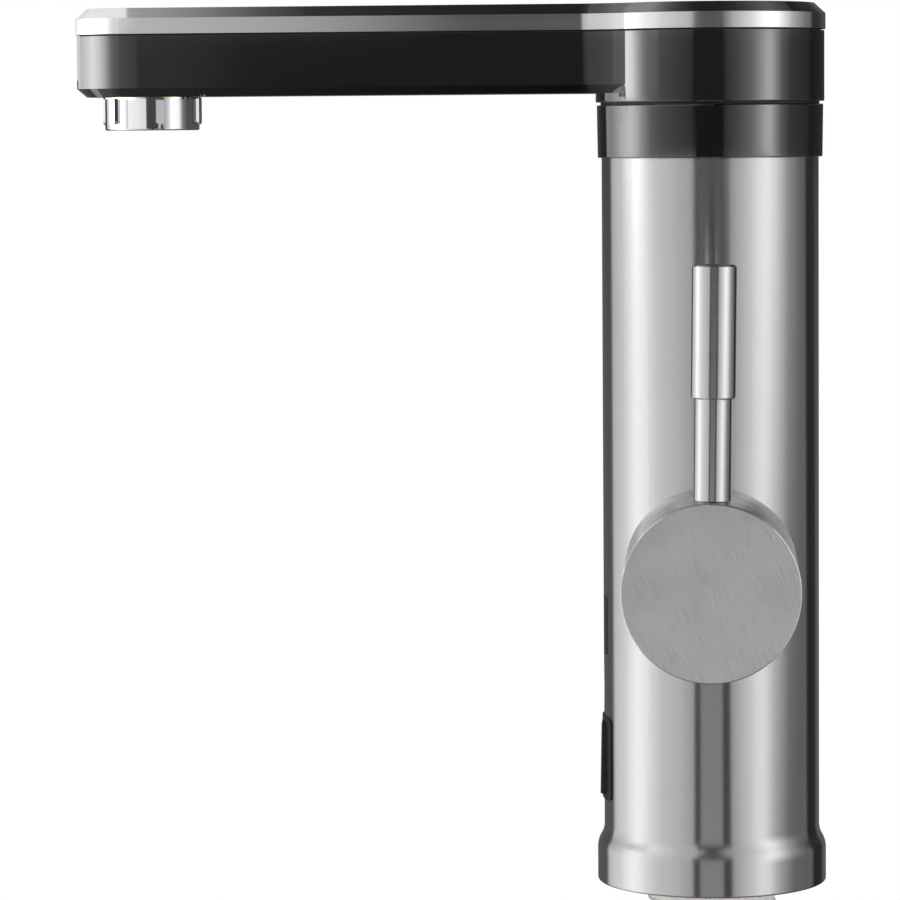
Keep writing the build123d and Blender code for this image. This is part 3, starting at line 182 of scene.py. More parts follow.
# %% Floor
floor_drop, floor_size, paper_fibre = 1.5 * MM, 12, 2 * MM
shadow_near, shadow_far, near_glow = 0.12, 0.27, 0.35
floor_z = cad_low.z - floor_drop
bpy.ops.object.select_all(action="DESELECT")
bpy.ops.mesh.primitive_plane_add(size=floor_size, location=(0, 0, floor_z))
floor = bpy.context.object
floor.name = "floor"
bpy.ops.object.transform_apply(location=True)
floor.visible_glossy = False
paper = bpy.data.materials.new("white_paper_sweep")
tree = new_tree(paper)
path = add_node(tree, "ShaderNodeLightPath")
geometry = add_node(tree, "ShaderNodeNewGeometry")
place = add_node(tree, "ShaderNodeTexCoord")
fibre = add_node(
    tree, "ShaderNodeTexNoise", {"Vector": place.outputs["Object"], "Scale": 1 / paper_fibre}
)
tone = add_node(
    tree, "ShaderNodeMix",
    {0: fibre.outputs["Fac"], 6: linear("#f8f8f8"), 7: linear("#fcfcfc")}, data_type="RGBA",
)
matt = add_node(tree, "ShaderNodeBsdfDiffuse", {"Color": tone.outputs[2]})
glow = add_node(tree, "ShaderNodeEmission", {"Color": (1, 1, 1, 1), "Strength": 1.0})
away = add_node(tree, "ShaderNodeVectorMath", {0: place.outputs["Object"]}, operation="LENGTH")
fade = add_node(
    tree, "ShaderNodeMapRange",
    {"Value": away.outputs["Value"], "From Min": shadow_near, "From Max": shadow_far,
     "To Min": near_glow, "To Max": 1.0},
    interpolation_type="SMOOTHSTEP",
)
share = add_node(
    tree, "ShaderNodeMath",
    {0: path.outputs["Is Camera Ray"], 1: fade.outputs[0]}, operation="MULTIPLY",
)
sheet = add_node(
    tree, "ShaderNodeMixShader", {0: share.outputs[0], 1: matt.outputs[0], 2: glow.outputs[0]}
)
clear = add_node(tree, "ShaderNodeBsdfTransparent")
below = add_node(
    tree, "ShaderNodeMixShader",
    {0: geometry.outputs["Backfacing"], 1: sheet.outputs[0], 2: clear.outputs[0]},
)
add_node(tree, "ShaderNodeOutputMaterial", {"Surface": below.outputs[0]})
floor.data.materials.append(paper)
floor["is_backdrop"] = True
print("floor at", round(floor_z, 4))


# %% [markdown]
# ## Soft boxes and flags
#
# Bare steel has no colour of its own: it shows the room. A photographer puts large soft
# boxes beside it and black flags in front and behind, and the column turns them into
# upright bands. They could be many lamps, but here they are painted on one round wall that
# only reflections see, so the whole room is one list. A stop is a direction in degrees and
# its light: 0 is the camera's side, minus is left and plus is right. The foot and the low
# part of the column see the low bands, and what is higher sees the high ones. A strip at
# the height of the spout gives its black lacquer the bright edges: lacquer throws back
# less than a quarter of the light that steel does, so its boxes are stronger and narrower.

# %% Bands of light
brightest = 4.0
low_bands = [
    (-180, 0.13), (-128.6, 0.13), (-126.4, 0.90), (-117, 1.04), (-105, 1.17), (-95, 1.50),
    (-86, 1.70), (-78, 1.56), (-70, 1.26), (-62, 1.09), (-55, 0.90), (-41, 0.86), (-34, 0.82),
    (-28, 0.68), (-20, 0.60), (-8, 0.15), (8, 0.15), (17, 0.40), (23, 0.57), (30, 0.77),
    (43, 1.05), (50, 1.30), (58, 1.26), (65, 0.81), (73, 0.45), (90, 0.18), (109, 0.18),
    (119.5, 0.23), (123, 0.03), (144, 0.03), (149, 0.14), (180, 0.14),
]
high_bands = [
    (-180, 0.13), (-128.6, 0.13), (-126.4, 0.78), (-117, 0.66), (-105, 0.60), (-95, 0.72),
    (-86, 0.98), (-78, 1.08), (-70, 1.20), (-62, 1.22), (-55, 1.13), (-41, 0.95), (-34, 0.86),
    (-20, 0.79), (-14, 0.64), (-8, 0.14), (8, 0.14), (17, 0.44), (23, 0.61), (30, 0.75),
    (43, 0.98), (50, 1.16), (58, 1.24), (65, 1.48), (73, 1.64), (81, 1.28), (90, 0.72),
    (109, 0.28), (118.5, 0.25), (121.5, 0.04), (140, 0.04), (147, 0.11),
]
strip_bands = [
    (-180, 0.10), (-145, 0.05), (-131, 0.04), (-128.5, 0.75), (-118, 0.84), (-108, 1.50),
    (-100, 2.35), (-92, 3.00), (-86, 3.30), (-79, 2.80), (-73, 1.90), (-68, 1.35), (-61.5, 0.74),
    (-50, 0.46), (-29, 0.27), (-21, 0.22), (-17.3, 0.17), (-15.3, 0.08), (-9, 0.07), (13, 0.08),
    (16, 0.20), (30, 0.47), (42, 0.90), (51, 1.75), (58, 2.60), (63, 2.65), (70, 1.36),
    (76, 0.60), (87, 0.22), (102, 0.14), (113, 0.10), (121, 0.04),
]


def round_stops(bands):
    """Bands in degrees as a ramp's stops round the wall."""
    return [((degrees + 180) / 360, light / brightest) for degrees, light in bands]


print("stops", len(low_bands), len(high_bands), len(strip_bands))


# %% [markdown]
# ## The round wall
#
# The wall is an open cylinder. Nothing but a reflection sees it: not the camera, no matt
# surface and no shadow. So it can stand close and be as bright as the steel needs, while
# the background stays white. All the cards that follow are switched in the same way.

# %% Wall
wall_r, wall_low, wall_high, wall_sides = 0.75, -0.6, 0.95, 128


def only_reflected(card):
    """Leave a stage card to the reflections alone."""
    card.visible_camera = False
    card.visible_diffuse = False
    card.visible_shadow = False
    card.visible_transmission = False
    card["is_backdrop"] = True


bpy.ops.object.select_all(action="DESELECT")
bpy.ops.mesh.primitive_cylinder_add(
    vertices=wall_sides, radius=wall_r, depth=wall_high - wall_low, end_fill_type="NOTHING",
    location=(0, 0, (wall_low + wall_high) / 2),
)
wall = bpy.context.object
wall.name = "soft_box_wall"
bpy.ops.object.transform_apply(location=True)
only_reflected(wall)
print("wall of light", wall_r, "m round,", round(wall_high - wall_low, 2), "m high")

# %% [markdown]
# ## The light on the wall
#
# A point of the wall turns its direction into a place on each ramp. Its height then chooses
# between them: low bands, high bands, and the strip between two heights with soft edges.
# High up behind the tap, on the right, a flag takes most of the light away, because there
# the cover's bevel looks over the top of the black flags.

# %% Wall's light
low_end, high_start = 0.02, 0.12
strip_low, strip_high, strip_soft = 0.164, 0.2425, 0.006
flag_low, flag_high, flag_dark = 0.35, 0.60, 0.7
flag_angle, flag_half = 2.4, 0.45  # radians, so about 112 to 163 degrees
light_wall = bpy.data.materials.new("soft_boxes_and_flags")
tree = new_tree(light_wall)
place = add_node(tree, "ShaderNodeTexCoord")
axes = add_node(tree, "ShaderNodeSeparateXYZ", {0: place.outputs["Object"]})
front = add_node(tree, "ShaderNodeMath", {0: axes.outputs["Y"], 1: -1.0}, operation="MULTIPLY")
angle = add_node(
    tree, "ShaderNodeMath", {0: axes.outputs["X"], 1: front.outputs[0]}, operation="ARCTAN2"
)
turn = add_node(
    tree, "ShaderNodeMapRange",
    {"Value": angle.outputs[0], "From Min": -math.pi, "From Max": math.pi,
     "To Min": 0.0, "To Max": 1.0},
)
low_light, high_light, strip_light = [
    add_node(tree, "ShaderNodeValToRGB", {"Fac": turn.outputs[0]}, stops=round_stops(bands))
    for bands in (low_bands, high_bands, strip_bands)
]
rise = add_node(
    tree, "ShaderNodeMapRange",
    {"Value": axes.outputs["Z"], "From Min": low_end, "From Max": high_start,
     "To Min": 0.0, "To Max": 1.0},
)
base = add_node(
    tree, "ShaderNodeMix",
    {0: rise.outputs[0], 4: low_light.outputs["Color"], 5: high_light.outputs["Color"]},
    data_type="VECTOR",
)
above = add_node(
    tree, "ShaderNodeMapRange",
    {"Value": axes.outputs["Z"], "From Min": strip_low, "From Max": strip_low + strip_soft,
     "To Min": 0.0, "To Max": 1.0},
)
below = add_node(
    tree, "ShaderNodeMapRange",
    {"Value": axes.outputs["Z"], "From Min": strip_high, "From Max": strip_high + strip_soft,
     "To Min": 1.0, "To Max": 0.0},
)
strip = add_node(
    tree, "ShaderNodeMath", {0: above.outputs[0], 1: below.outputs[0]}, operation="MULTIPLY"
)
total = add_node(
    tree, "ShaderNodeMix",
    {0: strip.outputs[0], 4: base.outputs[1], 5: strip_light.outputs["Color"]},
    data_type="VECTOR",
)
high = add_node(
    tree, "ShaderNodeMapRange",
    {"Value": axes.outputs["Z"], "From Min": flag_low, "From Max": flag_high,
     "To Min": 0.0, "To Max": -flag_dark * brightest},
)
behind = add_node(
    tree, "ShaderNodeMath",
    {0: angle.outputs[0], 1: flag_angle, 2: flag_half}, operation="COMPARE",
)
full = add_node(
    tree, "ShaderNodeMath",
    {0: high.outputs[0], 1: behind.outputs[0], 2: brightest}, operation="MULTIPLY_ADD",
)
glow = add_node(
    tree, "ShaderNodeEmission", {"Color": total.outputs[1], "Strength": full.outputs[0]}
)
add_node(tree, "ShaderNodeOutputMaterial", {"Surface": glow.outputs[0]})
wall.data.materials.append(light_wall)
print("nodes on the wall", len(tree.nodes))

# %% [markdown]
# ## Cards close to the tap
#
# A reflection in a piece that stands off the middle sees past a card that the column sees
# in full. So what only one piece should show is a small card close to that piece. Grey and
# black cards stand in front of the column. Bright ones stand round the spout's tip: the
# side boxes light its round end, the bands the edge of the cover, and the top boxes its
# bevel. A fading card carries that light on along the arm. The outlet's own boxes and flag
# give the chrome its white panes and dark lines. A card is a corner, its two edges, and its
# light at even steps along the first edge.

# %% Cards
card_full = 8.0
cards = {
    "front_left_flag": ((-0.112, -0.35, -0.30), (0.042, 0, 0), (0, 0, 0.476), (0.07, 0.07)),
    "front_right_flag": ((0.072, -0.35, -0.30), (0.055, 0, 0), (0, 0, 0.476), (0.07, 0.07)),
    "front_low_card": ((-0.070, -0.35, -0.30), (0.142, 0, 0), (0, 0, 0.40), (0.40, 0.40)),
    "front_middle_card": ((-0.070, -0.35, 0.10), (0.142, 0, 0), (0, 0, 0.076), (0.13, 0.13)),
    "front_collar_card": ((-0.082, -0.35, 0.176), (0.162, 0, 0), (0, 0, 0.023), (0.05, 0.05)),
    "front_high_card": ((-0.095, -0.35, 0.199), (0.175, 0, 0), (0, 0, 0.101), (0.075, 0.075)),
    "tip_side_box": (
        (-0.200, -0.170, 0.2087), (0, 0.212, 0), (0, 0, 0.021),
        (0.62, 0.70, 0.76, 0.82, 1.00, 1.35, 2.10, 3.05, 4.20, 4.85, 3.10, 1.72, 1.42, 1.30),
    ),
    "tip_band_box": (
        (-0.200, -0.170, 0.2297), (0, 0.240, 0), (0, 0, 0.02),
        (1.22, 1.30, 1.32, 1.26, 1.10, 0.92, 0.90),
    ),
    "tip_front_box": (
        (-0.1745, -0.0832, 0.208), (0.0170, 0.0064, 0), (0, 0, 0.0205), (0.62, 0.60, 0.50, 0.30),
    ),
    "tip_front_band": (
        (-0.1745, -0.0832, 0.2285), (0.0170, 0.0064, 0), (0, 0, 0.0195), (1.40, 1.35, 1.20, 0.85),
    ),
    "tip_top_box": ((-0.350, -0.100, 0.330), (0.184, 0, 0), (0, 0.22, 0), (1.05, 1.05)),
    "tip_back_box": ((-0.330, 0.130, 0.215), (0.150, 0, 0), (0, 0, 0.16), (0.90, 0.90)),
    "arm_top_fade": (
        (-0.166, -0.080, 0.330), (0.051, 0, 0), (0, 0.13, 0), (0.44, 0.35, 0.225, 0.11, 0.05),
    ),
    "outlet_box": (
        (-0.1330, -0.0128, 0.1985), (0, 0.0253, 0), (0, 0, 0.0095), (2.90, 2.40, 1.70),
    ),
    "outlet_flag": (
        (-0.1340, -0.0128, 0.1985), (0, 0.0253, 0), (0, 0, 0.0095),
        (1.30, 1.25, 0.25, 0.10, 0.10, 0.10, 0.10, 0.10, 0.10, 0.10, 0.12, 0.12, 0.12),
    ),
    "outlet_left_box": (
        (-0.2108, -0.0541, 0.1985), (0.0593, 0.0100, 0), (0, 0, 0.0100), (1.20, 1.15, 1.10, 0.92),
    ),
    "outlet_front_box": (
        (-0.1370, -0.0303, 0.1985), (0.0030, 0.0002, 0), (0, 0, 0.0095), (0.60, 0.60),
    ),
}
for name, (corner, along, across, lights) in cards.items():
    bpy.ops.object.select_all(action="DESELECT")
    bpy.ops.mesh.primitive_plane_add(size=1)
    card = bpy.context.object
    card.name = name
    corner, along, across = Vector(corner), Vector(along), Vector(across)
    corners = (corner, corner + along, corner + across, corner + along + across)
    for vertex, place in zip(card.data.vertices, corners):
        vertex.co = place
    glow_paper = bpy.data.materials.new(name)
    tree = new_tree(glow_paper)
    place = add_node(tree, "ShaderNodeTexCoord")
    axes = add_node(tree, "ShaderNodeSeparateXYZ", {0: place.outputs["UV"]})
    last = len(lights) - 1
    light = add_node(
        tree, "ShaderNodeValToRGB", {"Fac": axes.outputs["X"]},
        stops=[(number / last, light / card_full) for number, light in enumerate(lights)],
    )
    glow = add_node(
        tree, "ShaderNodeEmission", {"Color": light.outputs["Color"], "Strength": card_full}
    )
    add_node(tree, "ShaderNodeOutputMaterial", {"Surface": glow.outputs[0]})
    card.data.materials.append(glow_paper)
    only_reflected(card)
print("cards", len(cards))

# %% [markdown]
# ## The ceiling and the table
#
# Above and below, the wall is closed by black velvet, or the flat top of the cover and the
# knob's upper side would be plain white. Velvet still throws back a little light where the
# boxes stand close, so it is nearly black in the middle and greyer towards the wall, and
# darker again on the right, where no box stands above. One material serves both discs.

# %% Ceiling and table
velvet_inner, velvet_outer, velvet_black, velvet_grey = 0.08, 0.46, 0.018, 0.31
right_start, right_end, left_share, right_share = 0.13, 0.48, 0.9, 0.14
disc_sides = 96
velvet = bpy.data.materials.new("black_velvet_flag")
tree = new_tree(velvet)
place = add_node(tree, "ShaderNodeTexCoord")
out = add_node(
    tree, "ShaderNodeVectorMath", {0: place.outputs["Object"], 1: (1, 1, 0)}, operation="MULTIPLY"
)
out = add_node(tree, "ShaderNodeVectorMath", {0: out.outputs[0]}, operation="LENGTH")
ring = add_node(
    tree, "ShaderNodeMapRange",
    {"Value": out.outputs["Value"], "From Min": velvet_inner, "From Max": velvet_outer,
     "To Min": 0.0, "To Max": 1.0},
)
ring = add_node(tree, "ShaderNodeMath", {0: ring.outputs[0], 1: 2.0}, operation="POWER")
ring = add_node(
    tree, "ShaderNodeMath",
    {0: ring.outputs[0], 1: velvet_grey, 2: velvet_black}, operation="MULTIPLY_ADD",
)
axes = add_node(tree, "ShaderNodeSeparateXYZ", {0: place.outputs["Object"]})
right = add_node(
    tree, "ShaderNodeMapRange",
    {"Value": axes.outputs["X"], "From Min": right_start, "From Max": right_end,
     "To Min": left_share, "To Max": right_share},
)
fade = add_node(
    tree, "ShaderNodeMath", {0: ring.outputs[0], 1: right.outputs[0]}, operation="MULTIPLY"
)
glow = add_node(
    tree, "ShaderNodeEmission", {"Color": (1, 1, 1, 1), "Strength": fade.outputs[0]}
)
add_node(tree, "ShaderNodeOutputMaterial", {"Surface": glow.outputs[0]})
for name, height in (("ceiling_flag", wall_high), ("dark_table", wall_low)):
    bpy.ops.object.select_all(action="DESELECT")
    bpy.ops.mesh.primitive_circle_add(
        vertices=disc_sides, radius=wall_r, fill_type="NGON", location=(0, 0, height)
    )
    disc = bpy.context.object
    disc.name = name
    bpy.ops.object.transform_apply(location=True)
    disc.data.materials.append(velvet)
    only_reflected(disc)
    print(name, "at", height)

# %% [markdown]
# ## Lamps
#
# Three large lamps light what is matt: the white nut, the rubber and the floor. They stay
# out of the reflections, which the wall gives. Their power is set so that, together with
# the world, they light a matt surface about as its colour is written.

# %% Lamps
lamp_aim = Vector((-0.05, 0, 0.1))


def soft_lamp(name, place, size, power):
    """A square lamp that looks at the middle of the tap."""
    lamp_data = bpy.data.lights.new(name, "AREA")
    lamp_data.size = size
    lamp_data.energy = power
    lamp = bpy.data.objects.new(name, lamp_data)
    bpy.context.scene.collection.objects.link(lamp)
    lamp.location = place
    lamp.rotation_euler = (lamp_aim - Vector(place)).to_track_quat("-Z", "Y").to_euler()
    lamp.visible_glossy = False
    lamp.visible_camera = False
    print(name, power, "W")


soft_lamp("left_lamp", (-1.1, -0.7, 0.5), 0.9, 5.5)
soft_lamp("right_lamp", (1.1, -0.7, 0.5), 0.9, 5.5)
soft_lamp("top_lamp", (0, 0.2, 1.4), 1.2, 7.0)


# %% [markdown]
# ## Brushed stainless steel: which way the belt ran
#
# The column, the knob, the lever and the spout's cover are stainless steel that was turned
# or pulled against an abrasive belt. The belt leaves fine lines side by side. Light spreads
# across those lines and stays sharp along them, so the column shows upright bands that are
# crisp from left to right and run far up and down. The shader can stretch a highlight like
# that, if a tangent tells it which way the lines go. On the sides they go round the piece's
# axis, and on the flat faces across the axis they follow one straight stroke.

# %% Direction of the belt
flat_slope = 0.95  # a face whose normal leans less than 18 degrees from the axis is flat
bevel_slope, bevel_spread = 0.7, 0.25  # a bevel looks about halfway


def belt_direction(tree, place, axis, stroke):
    """Where the faces are flat, where they are bevels, and the direction of the lines."""
    normal = place.outputs["Normal"]
    lean = add_node(tree, "ShaderNodeVectorMath", {0: normal, 1: axis}, operation="DOT_PRODUCT")
    slope = add_node(tree, "ShaderNodeMath", {0: lean.outputs["Value"]}, operation="ABSOLUTE")
    flat = add_node(
        tree, "ShaderNodeMath", {0: slope.outputs[0], 1: flat_slope}, operation="GREATER_THAN"
    )
    bevelled = add_node(
        tree, "ShaderNodeMath",
        {0: slope.outputs[0], 1: bevel_slope, 2: bevel_spread}, operation="COMPARE",
    )
    around = add_node(
        tree, "ShaderNodeVectorMath", {0: normal, 1: axis}, operation="CROSS_PRODUCT"
    )
    line = add_node(
        tree, "ShaderNodeMix",
        {0: flat.outputs[0], 4: around.outputs[0], 5: stroke}, data_type="VECTOR",
    )
    line = add_node(
        tree, "ShaderNodeVectorTransform", {0: line.outputs[1]},
        vector_type="VECTOR", convert_from="OBJECT", convert_to="WORLD",
    )
    return flat.outputs[0], bevelled.outputs[0], line.outputs[0]


print("flat within", round(math.degrees(math.acos(flat_slope))), "degrees of the axis")


# %% [markdown]
# ## Brushed stainless steel: the lines
#
# A noise texture becomes lines when it is stretched. Round the axis a line runs on for
# 200 mm, about once round the column. On a flat face a stroke of the hand is only some
# millimetres long. Real lines are about 0.1 mm apart. They are drawn 0.22 mm apart, so that
# the picture, whose points are a quarter of a millimetre, can hold them.

# %% Lines of the belt
turn_length, line_pitch = 200 * MM, 0.22 * MM


def belt_lines(tree, place, axis, stroke, flat, length):
    """A pattern from 0 to 1: round the axis on the sides, along the stroke on flat faces."""
    here = place.outputs["Object"]
    side_scale = [1 / (line_pitch if abs(part) > 0.5 else turn_length) for part in axis]
    sides = add_node(
        tree, "ShaderNodeVectorMath", {0: here, 1: side_scale}, operation="MULTIPLY"
    )
    along = add_node(tree, "ShaderNodeVectorMath", {0: here, 1: stroke}, operation="DOT_PRODUCT")
    across = add_node(
        tree, "ShaderNodeVectorMath", {0: here, 1: axis.cross(stroke)}, operation="DOT_PRODUCT"
    )
    faces = add_node(
        tree, "ShaderNodeCombineXYZ", {"X": along.outputs["Value"], "Y": across.outputs["Value"]}
    )
    faces = add_node(
        tree, "ShaderNodeVectorMath",
        {0: faces.outputs[0], 1: (1 / length, 1 / line_pitch, 1)}, operation="MULTIPLY",
    )
    where = add_node(
        tree, "ShaderNodeMix",
        {0: flat, 4: sides.outputs[0], 5: faces.outputs[0]}, data_type="VECTOR",
    )
    lines = add_node(
        tree, "ShaderNodeTexNoise",
        {"Vector": where.outputs[1], "Scale": 1.0, "Detail": 1.0, "Roughness": 0.5},
    )
    return lines.outputs["Fac"]


print("lines", line_pitch / MM, "mm apart")


# %% [markdown]
# ## Brushed stainless steel: the finish
#
# The lines do three things: they change the tone a little, since a scratch is darker than
# its edge, they change the roughness, and they are about a micron deep. Larger clouds, of
# 14 mm, are where the belt pressed harder. The cover's bevel was cut after brushing, so it
# is smoother than the rest and its reflections are crisper.

# %% Brushed steel
cloud_size, scratch_depth = 14 * MM, 0.0012 * MM
noise_low, noise_high = 0.3, 0.7  # nearly all of a noise pattern lies between these
rough_spread = 0.12


def brushed_steel(
    name, colour, roughness, axis, stroke, contrast=0.02, bevel=1.0, cloudy=0.25, length=6 * MM
):
    """Steel brushed round an axis. A bevel has its own share of the roughness."""
    steel = bpy.data.materials.new(name)
    tree = new_tree(steel)
    place = add_node(tree, "ShaderNodeTexCoord")
    axis, stroke = Vector(axis), Vector(stroke).normalized()
    flat, bevelled, line = belt_direction(tree, place, axis, stroke)
    lines = belt_lines(tree, place, axis, stroke, flat, length)
    clouds = add_node(
        tree, "ShaderNodeTexNoise",
        {"Vector": place.outputs["Object"], "Scale": 1 / cloud_size, "Detail": 2.0},
    )
    shade = add_node(
        tree, "ShaderNodeMix", {0: cloudy, 2: lines, 3: clouds.outputs["Fac"]}, data_type="FLOAT"
    )
    gain = add_node(
        tree, "ShaderNodeMapRange",
        {"Value": shade.outputs[0], "From Min": noise_low, "From Max": noise_high,
         "To Min": 1 - contrast, "To Max": 1 + contrast},
    )
    tone = add_node(
        tree, "ShaderNodeVectorMath",
        {0: linear(colour)[:3], 1: gain.outputs[0]}, operation="MULTIPLY",
    )
    rough = add_node(
        tree, "ShaderNodeMapRange",
        {"Value": lines, "From Min": noise_low, "From Max": noise_high,
         "To Min": roughness * (1 - rough_spread), "To Max": roughness * (1 + rough_spread)},
    )
    cut = add_node(
        tree, "ShaderNodeMath", {0: bevelled, 1: bevel - 1, 2: 1.0}, operation="MULTIPLY_ADD"
    )
    rough = add_node(
        tree, "ShaderNodeMath", {0: rough.outputs[0], 1: cut.outputs[0]}, operation="MULTIPLY"
    )
    relief = add_node(
        tree, "ShaderNodeBump", {"Strength": 1.0, "Distance": scratch_depth, "Height": lines}
    )
    shader = add_node(
        tree, "ShaderNodeBsdfPrincipled",
        {"Base Color": tone.outputs[0], "Metallic": 1.0, "Roughness": rough.outputs[0],
         "Anisotropic": 1.0, "Anisotropic Rotation": 0.25,
         "Tangent": line, "Normal": relief.outputs[0]},
    )
    add_node(tree, "ShaderNodeOutputMaterial", {"Surface": shader.outputs[0]})
    return steel


print("scratches", round(scratch_depth / MM * 1000, 1), "microns deep")


# %% [markdown]
# ## The four steels
#
# Each piece met the belt in its own way. The column was turned against it and the cover
# pulled along it. The knob's face was finished by hand with a coarser pad, in one slanting
# direction, so its strokes are long, strong and cloudy. The lever's rod and grip are turned
# bar, finer than the rest.

# %% Steels
UP, OUT, SIDEWAYS, SLANTING = (0, 0, 1), (0, -1, 0), (1, 0, 0), (-0.38, 0, 0.92)
finishes = {
    # Stainless tube, turned on a belt: grey, with soft upright bands
    "column_steel": brushed_steel("brushed_stainless_column", "#c4c4c3", 0.23, UP, SIDEWAYS),
    # Stainless sheet, pulled along a belt: the brightest steel here
    "cover_steel": brushed_steel(
        "brushed_stainless_cover", "#dedede", 0.22, UP, SIDEWAYS, bevel=0.45
    ),
    # Stainless bar, faced and then brushed by hand: an even grey with visible strokes
    "knob_steel": brushed_steel(
        "brushed_stainless_knob", "#dcdcdb", 0.30, OUT, SLANTING,
        contrast=0.10, cloudy=0.6, length=9 * MM,
    ),
    # Stainless bar, turned and fine brushed: sharp light and dark bands
    "lever_steel": brushed_steel("brushed_stainless_lever", "#cfcfce", 0.20, UP, SIDEWAYS),
}
print("steels", sorted(finishes))


# %% [markdown]
# ## Moulded plastics, rubber and turned metals
#
# The other finishes differ in colour, gloss and grain. A moulded surface copies its steel
# mould: polished for the spout, spark-eroded for the nylon pieces inside. A turned or drawn
# metal keeps the marks of its tool. One function takes the two close colours that a real
# piece wavers between, the grain's size in millimetres and how deep it is.

# %% Plain finishes with grain
stain_size, gloss_spread, coat_rough, coat_ior = 9 * MM, 0.1, 0.05, 1.7


def grained(name, colour, second, roughness, grain, depth, metallic=0.0, ior=1.5, coat=0.0):
    """A finish of two close colours, with a grain whose size and depth are in millimetres."""
    finish = bpy.data.materials.new(name)
    tree = new_tree(finish)
    place = add_node(tree, "ShaderNodeTexCoord")
    spots = add_node(
        tree, "ShaderNodeTexNoise",
        {"Vector": place.outputs["Object"], "Scale": 1 / (grain * MM),
         "Detail": 4.0, "Roughness": 0.6},
    )
    stains = add_node(
        tree, "ShaderNodeTexNoise",
        {"Vector": place.outputs["Object"], "Scale": 1 / stain_size, "Detail": 3.0},
    )
    tone = add_node(
        tree, "ShaderNodeMix",
        {0: stains.outputs["Fac"], 6: linear(colour), 7: linear(second)}, data_type="RGBA",
    )
    rough = add_node(
        tree, "ShaderNodeMapRange",
        {"Value": spots.outputs["Fac"], "From Min": noise_low, "From Max": noise_high,
         "To Min": roughness * (1 - gloss_spread), "To Max": roughness * (1 + gloss_spread)},
    )
    relief = add_node(
        tree, "ShaderNodeBump",
        {"Strength": 1.0, "Distance": depth * MM, "Height": spots.outputs["Fac"]},
    )
    shader = add_node(
        tree, "ShaderNodeBsdfPrincipled",
        {"Base Color": tone.outputs[2], "Metallic": metallic, "Roughness": rough.outputs[0],
         "IOR": ior, "Coat Weight": coat, "Coat Roughness": coat_rough, "Coat IOR": coat_ior,
         "Normal": relief.outputs[0]},
    )
    add_node(tree, "ShaderNodeOutputMaterial", {"Surface": shader.outputs[0]})
    return finish


print("stains", stain_size / MM, "mm across")

# %% [markdown]
# ## The plastics and the ceramic
#
# The spout is ABS under a clear lacquer, sanded and polished like a piano: the black under
# it swallows the light, and the lacquer's own gloss gives all that is seen. Its coat has an
# IOR of 1.7, a little above a lacquer's 1.5, which gave highlights as strong as the photo's.
# The others are dull beside it. Each entry has a name, two colours, the roughness, and the
# grain's size and depth in millimetres.

# %% Plastics
plastics = {
    # ABS, moulded, lacquered and polished: a black mirror. Also metallic 0, IOR 1.7, coat 1
    "spout_black": ("piano_black_lacquer", "#050506", "#070708", 0.06, 2.5, 0.0004, 0.0, 1.7, 1.0),
    # Polycarbonate from a spark-eroded mould: satin black with soft highlights
    "switch_black": ("satin_black_polycarbonate", "#0d0d0e", "#121213", 0.28, 0.12, 0.001),
    # Acrylic, tinted and moulded against polished steel: black glass while its digits are off
    "window_black": ("smoked_acrylic_window", "#070708", "#0a0a0c", 0.06, 3.0, 0.0003),
    # Nitrile rubber, moulded and dusted: matt, and never quite black
    "rubber": ("black_nitrile_rubber", "#141414", "#1d1d1d", 0.62, 0.15, 0.004),
    # Silicone, moulded and cured hot: brick red with a soft sheen
    "silicone_red": ("red_silicone_seal", "#8e2f27", "#9c3a30", 0.5, 0.2, 0.003),
    # Silicone, extruded: milky and a little waxy
    "hose_silicone": ("milky_silicone_hose", "#d9dcda", "#e6e8e5", 0.4, 0.3, 0.003),
    # Nylon with glass fibres, which show at its skin as a dull grain, in three colours
    "black_nylon": ("black_glass_filled_nylon", "#161617", "#202021", 0.5, 0.2, 0.004),
    "white_nylon": ("white_glass_filled_nylon", "#f0f0ed", "#f6f6f3", 0.45, 0.2, 0.003),
    "grey_nylon": ("grey_glass_filled_nylon", "#6f7274", "#7c7f81", 0.5, 0.2, 0.004),
    # Alumina, sintered and lapped flat: ivory with a wet shine
    "ceramic": ("lapped_alumina_ceramic", "#ebe7dc", "#f3f0e8", 0.15, 0.1, 0.0005),
    # Glass epoxy under printed solder mask: glossy green over faint tracks
    "board_green": ("green_solder_mask", "#1d5a38", "#24663f", 0.3, 0.8, 0.003),
    # Polyester, moulded: an even, slightly waxy blue
    "relay_blue": ("blue_relay_housing", "#1f4f94", "#285aa1", 0.35, 0.2, 0.003),
}
for slot, values in plastics.items():
    finishes[slot] = grained(*values)
print("plastics", len(plastics))

# %% [markdown]
# ## The metals
#
# A metal has no colour under its shine: its colour is the tint of what it reflects. So it
# needs only that tint and how finely it was worked.

# %% Metals
metals = {
    # Brass, polished, then plated with nickel and chromium: a cool, clear mirror
    "chrome": ("bright_chrome_plate", "#dcdddf", "#e4e5e7", 0.045, 3.0, 0.0004),
    # Brass bar, turned: warm yellow, with the marks of the tool
    "brass": ("turned_brass", "#b8954e", "#c9a75d", 0.28, 0.25, 0.003),
    # Stainless sheet, deep drawn: satin grey from the die
    "tank_steel": ("drawn_stainless_sheet", "#b9b9b6", "#c5c5c2", 0.3, 0.3, 0.002),
    # Stainless tube that has been hot: straw and brown tints
    "element_steel": ("heat_tinted_steel_sheath", "#8f8a80", "#a39c8e", 0.38, 0.3, 0.003),
    # Steel, plated with zinc in a bath: pale grey and blotchy
    "fixing_steel": ("zinc_plated_steel", "#b4b6b8", "#c4c5c6", 0.34, 0.4, 0.003),
}
for slot, values in metals.items():
    finishes[slot] = grained(*values, metallic=1.0)
print("finishes", len(finishes))


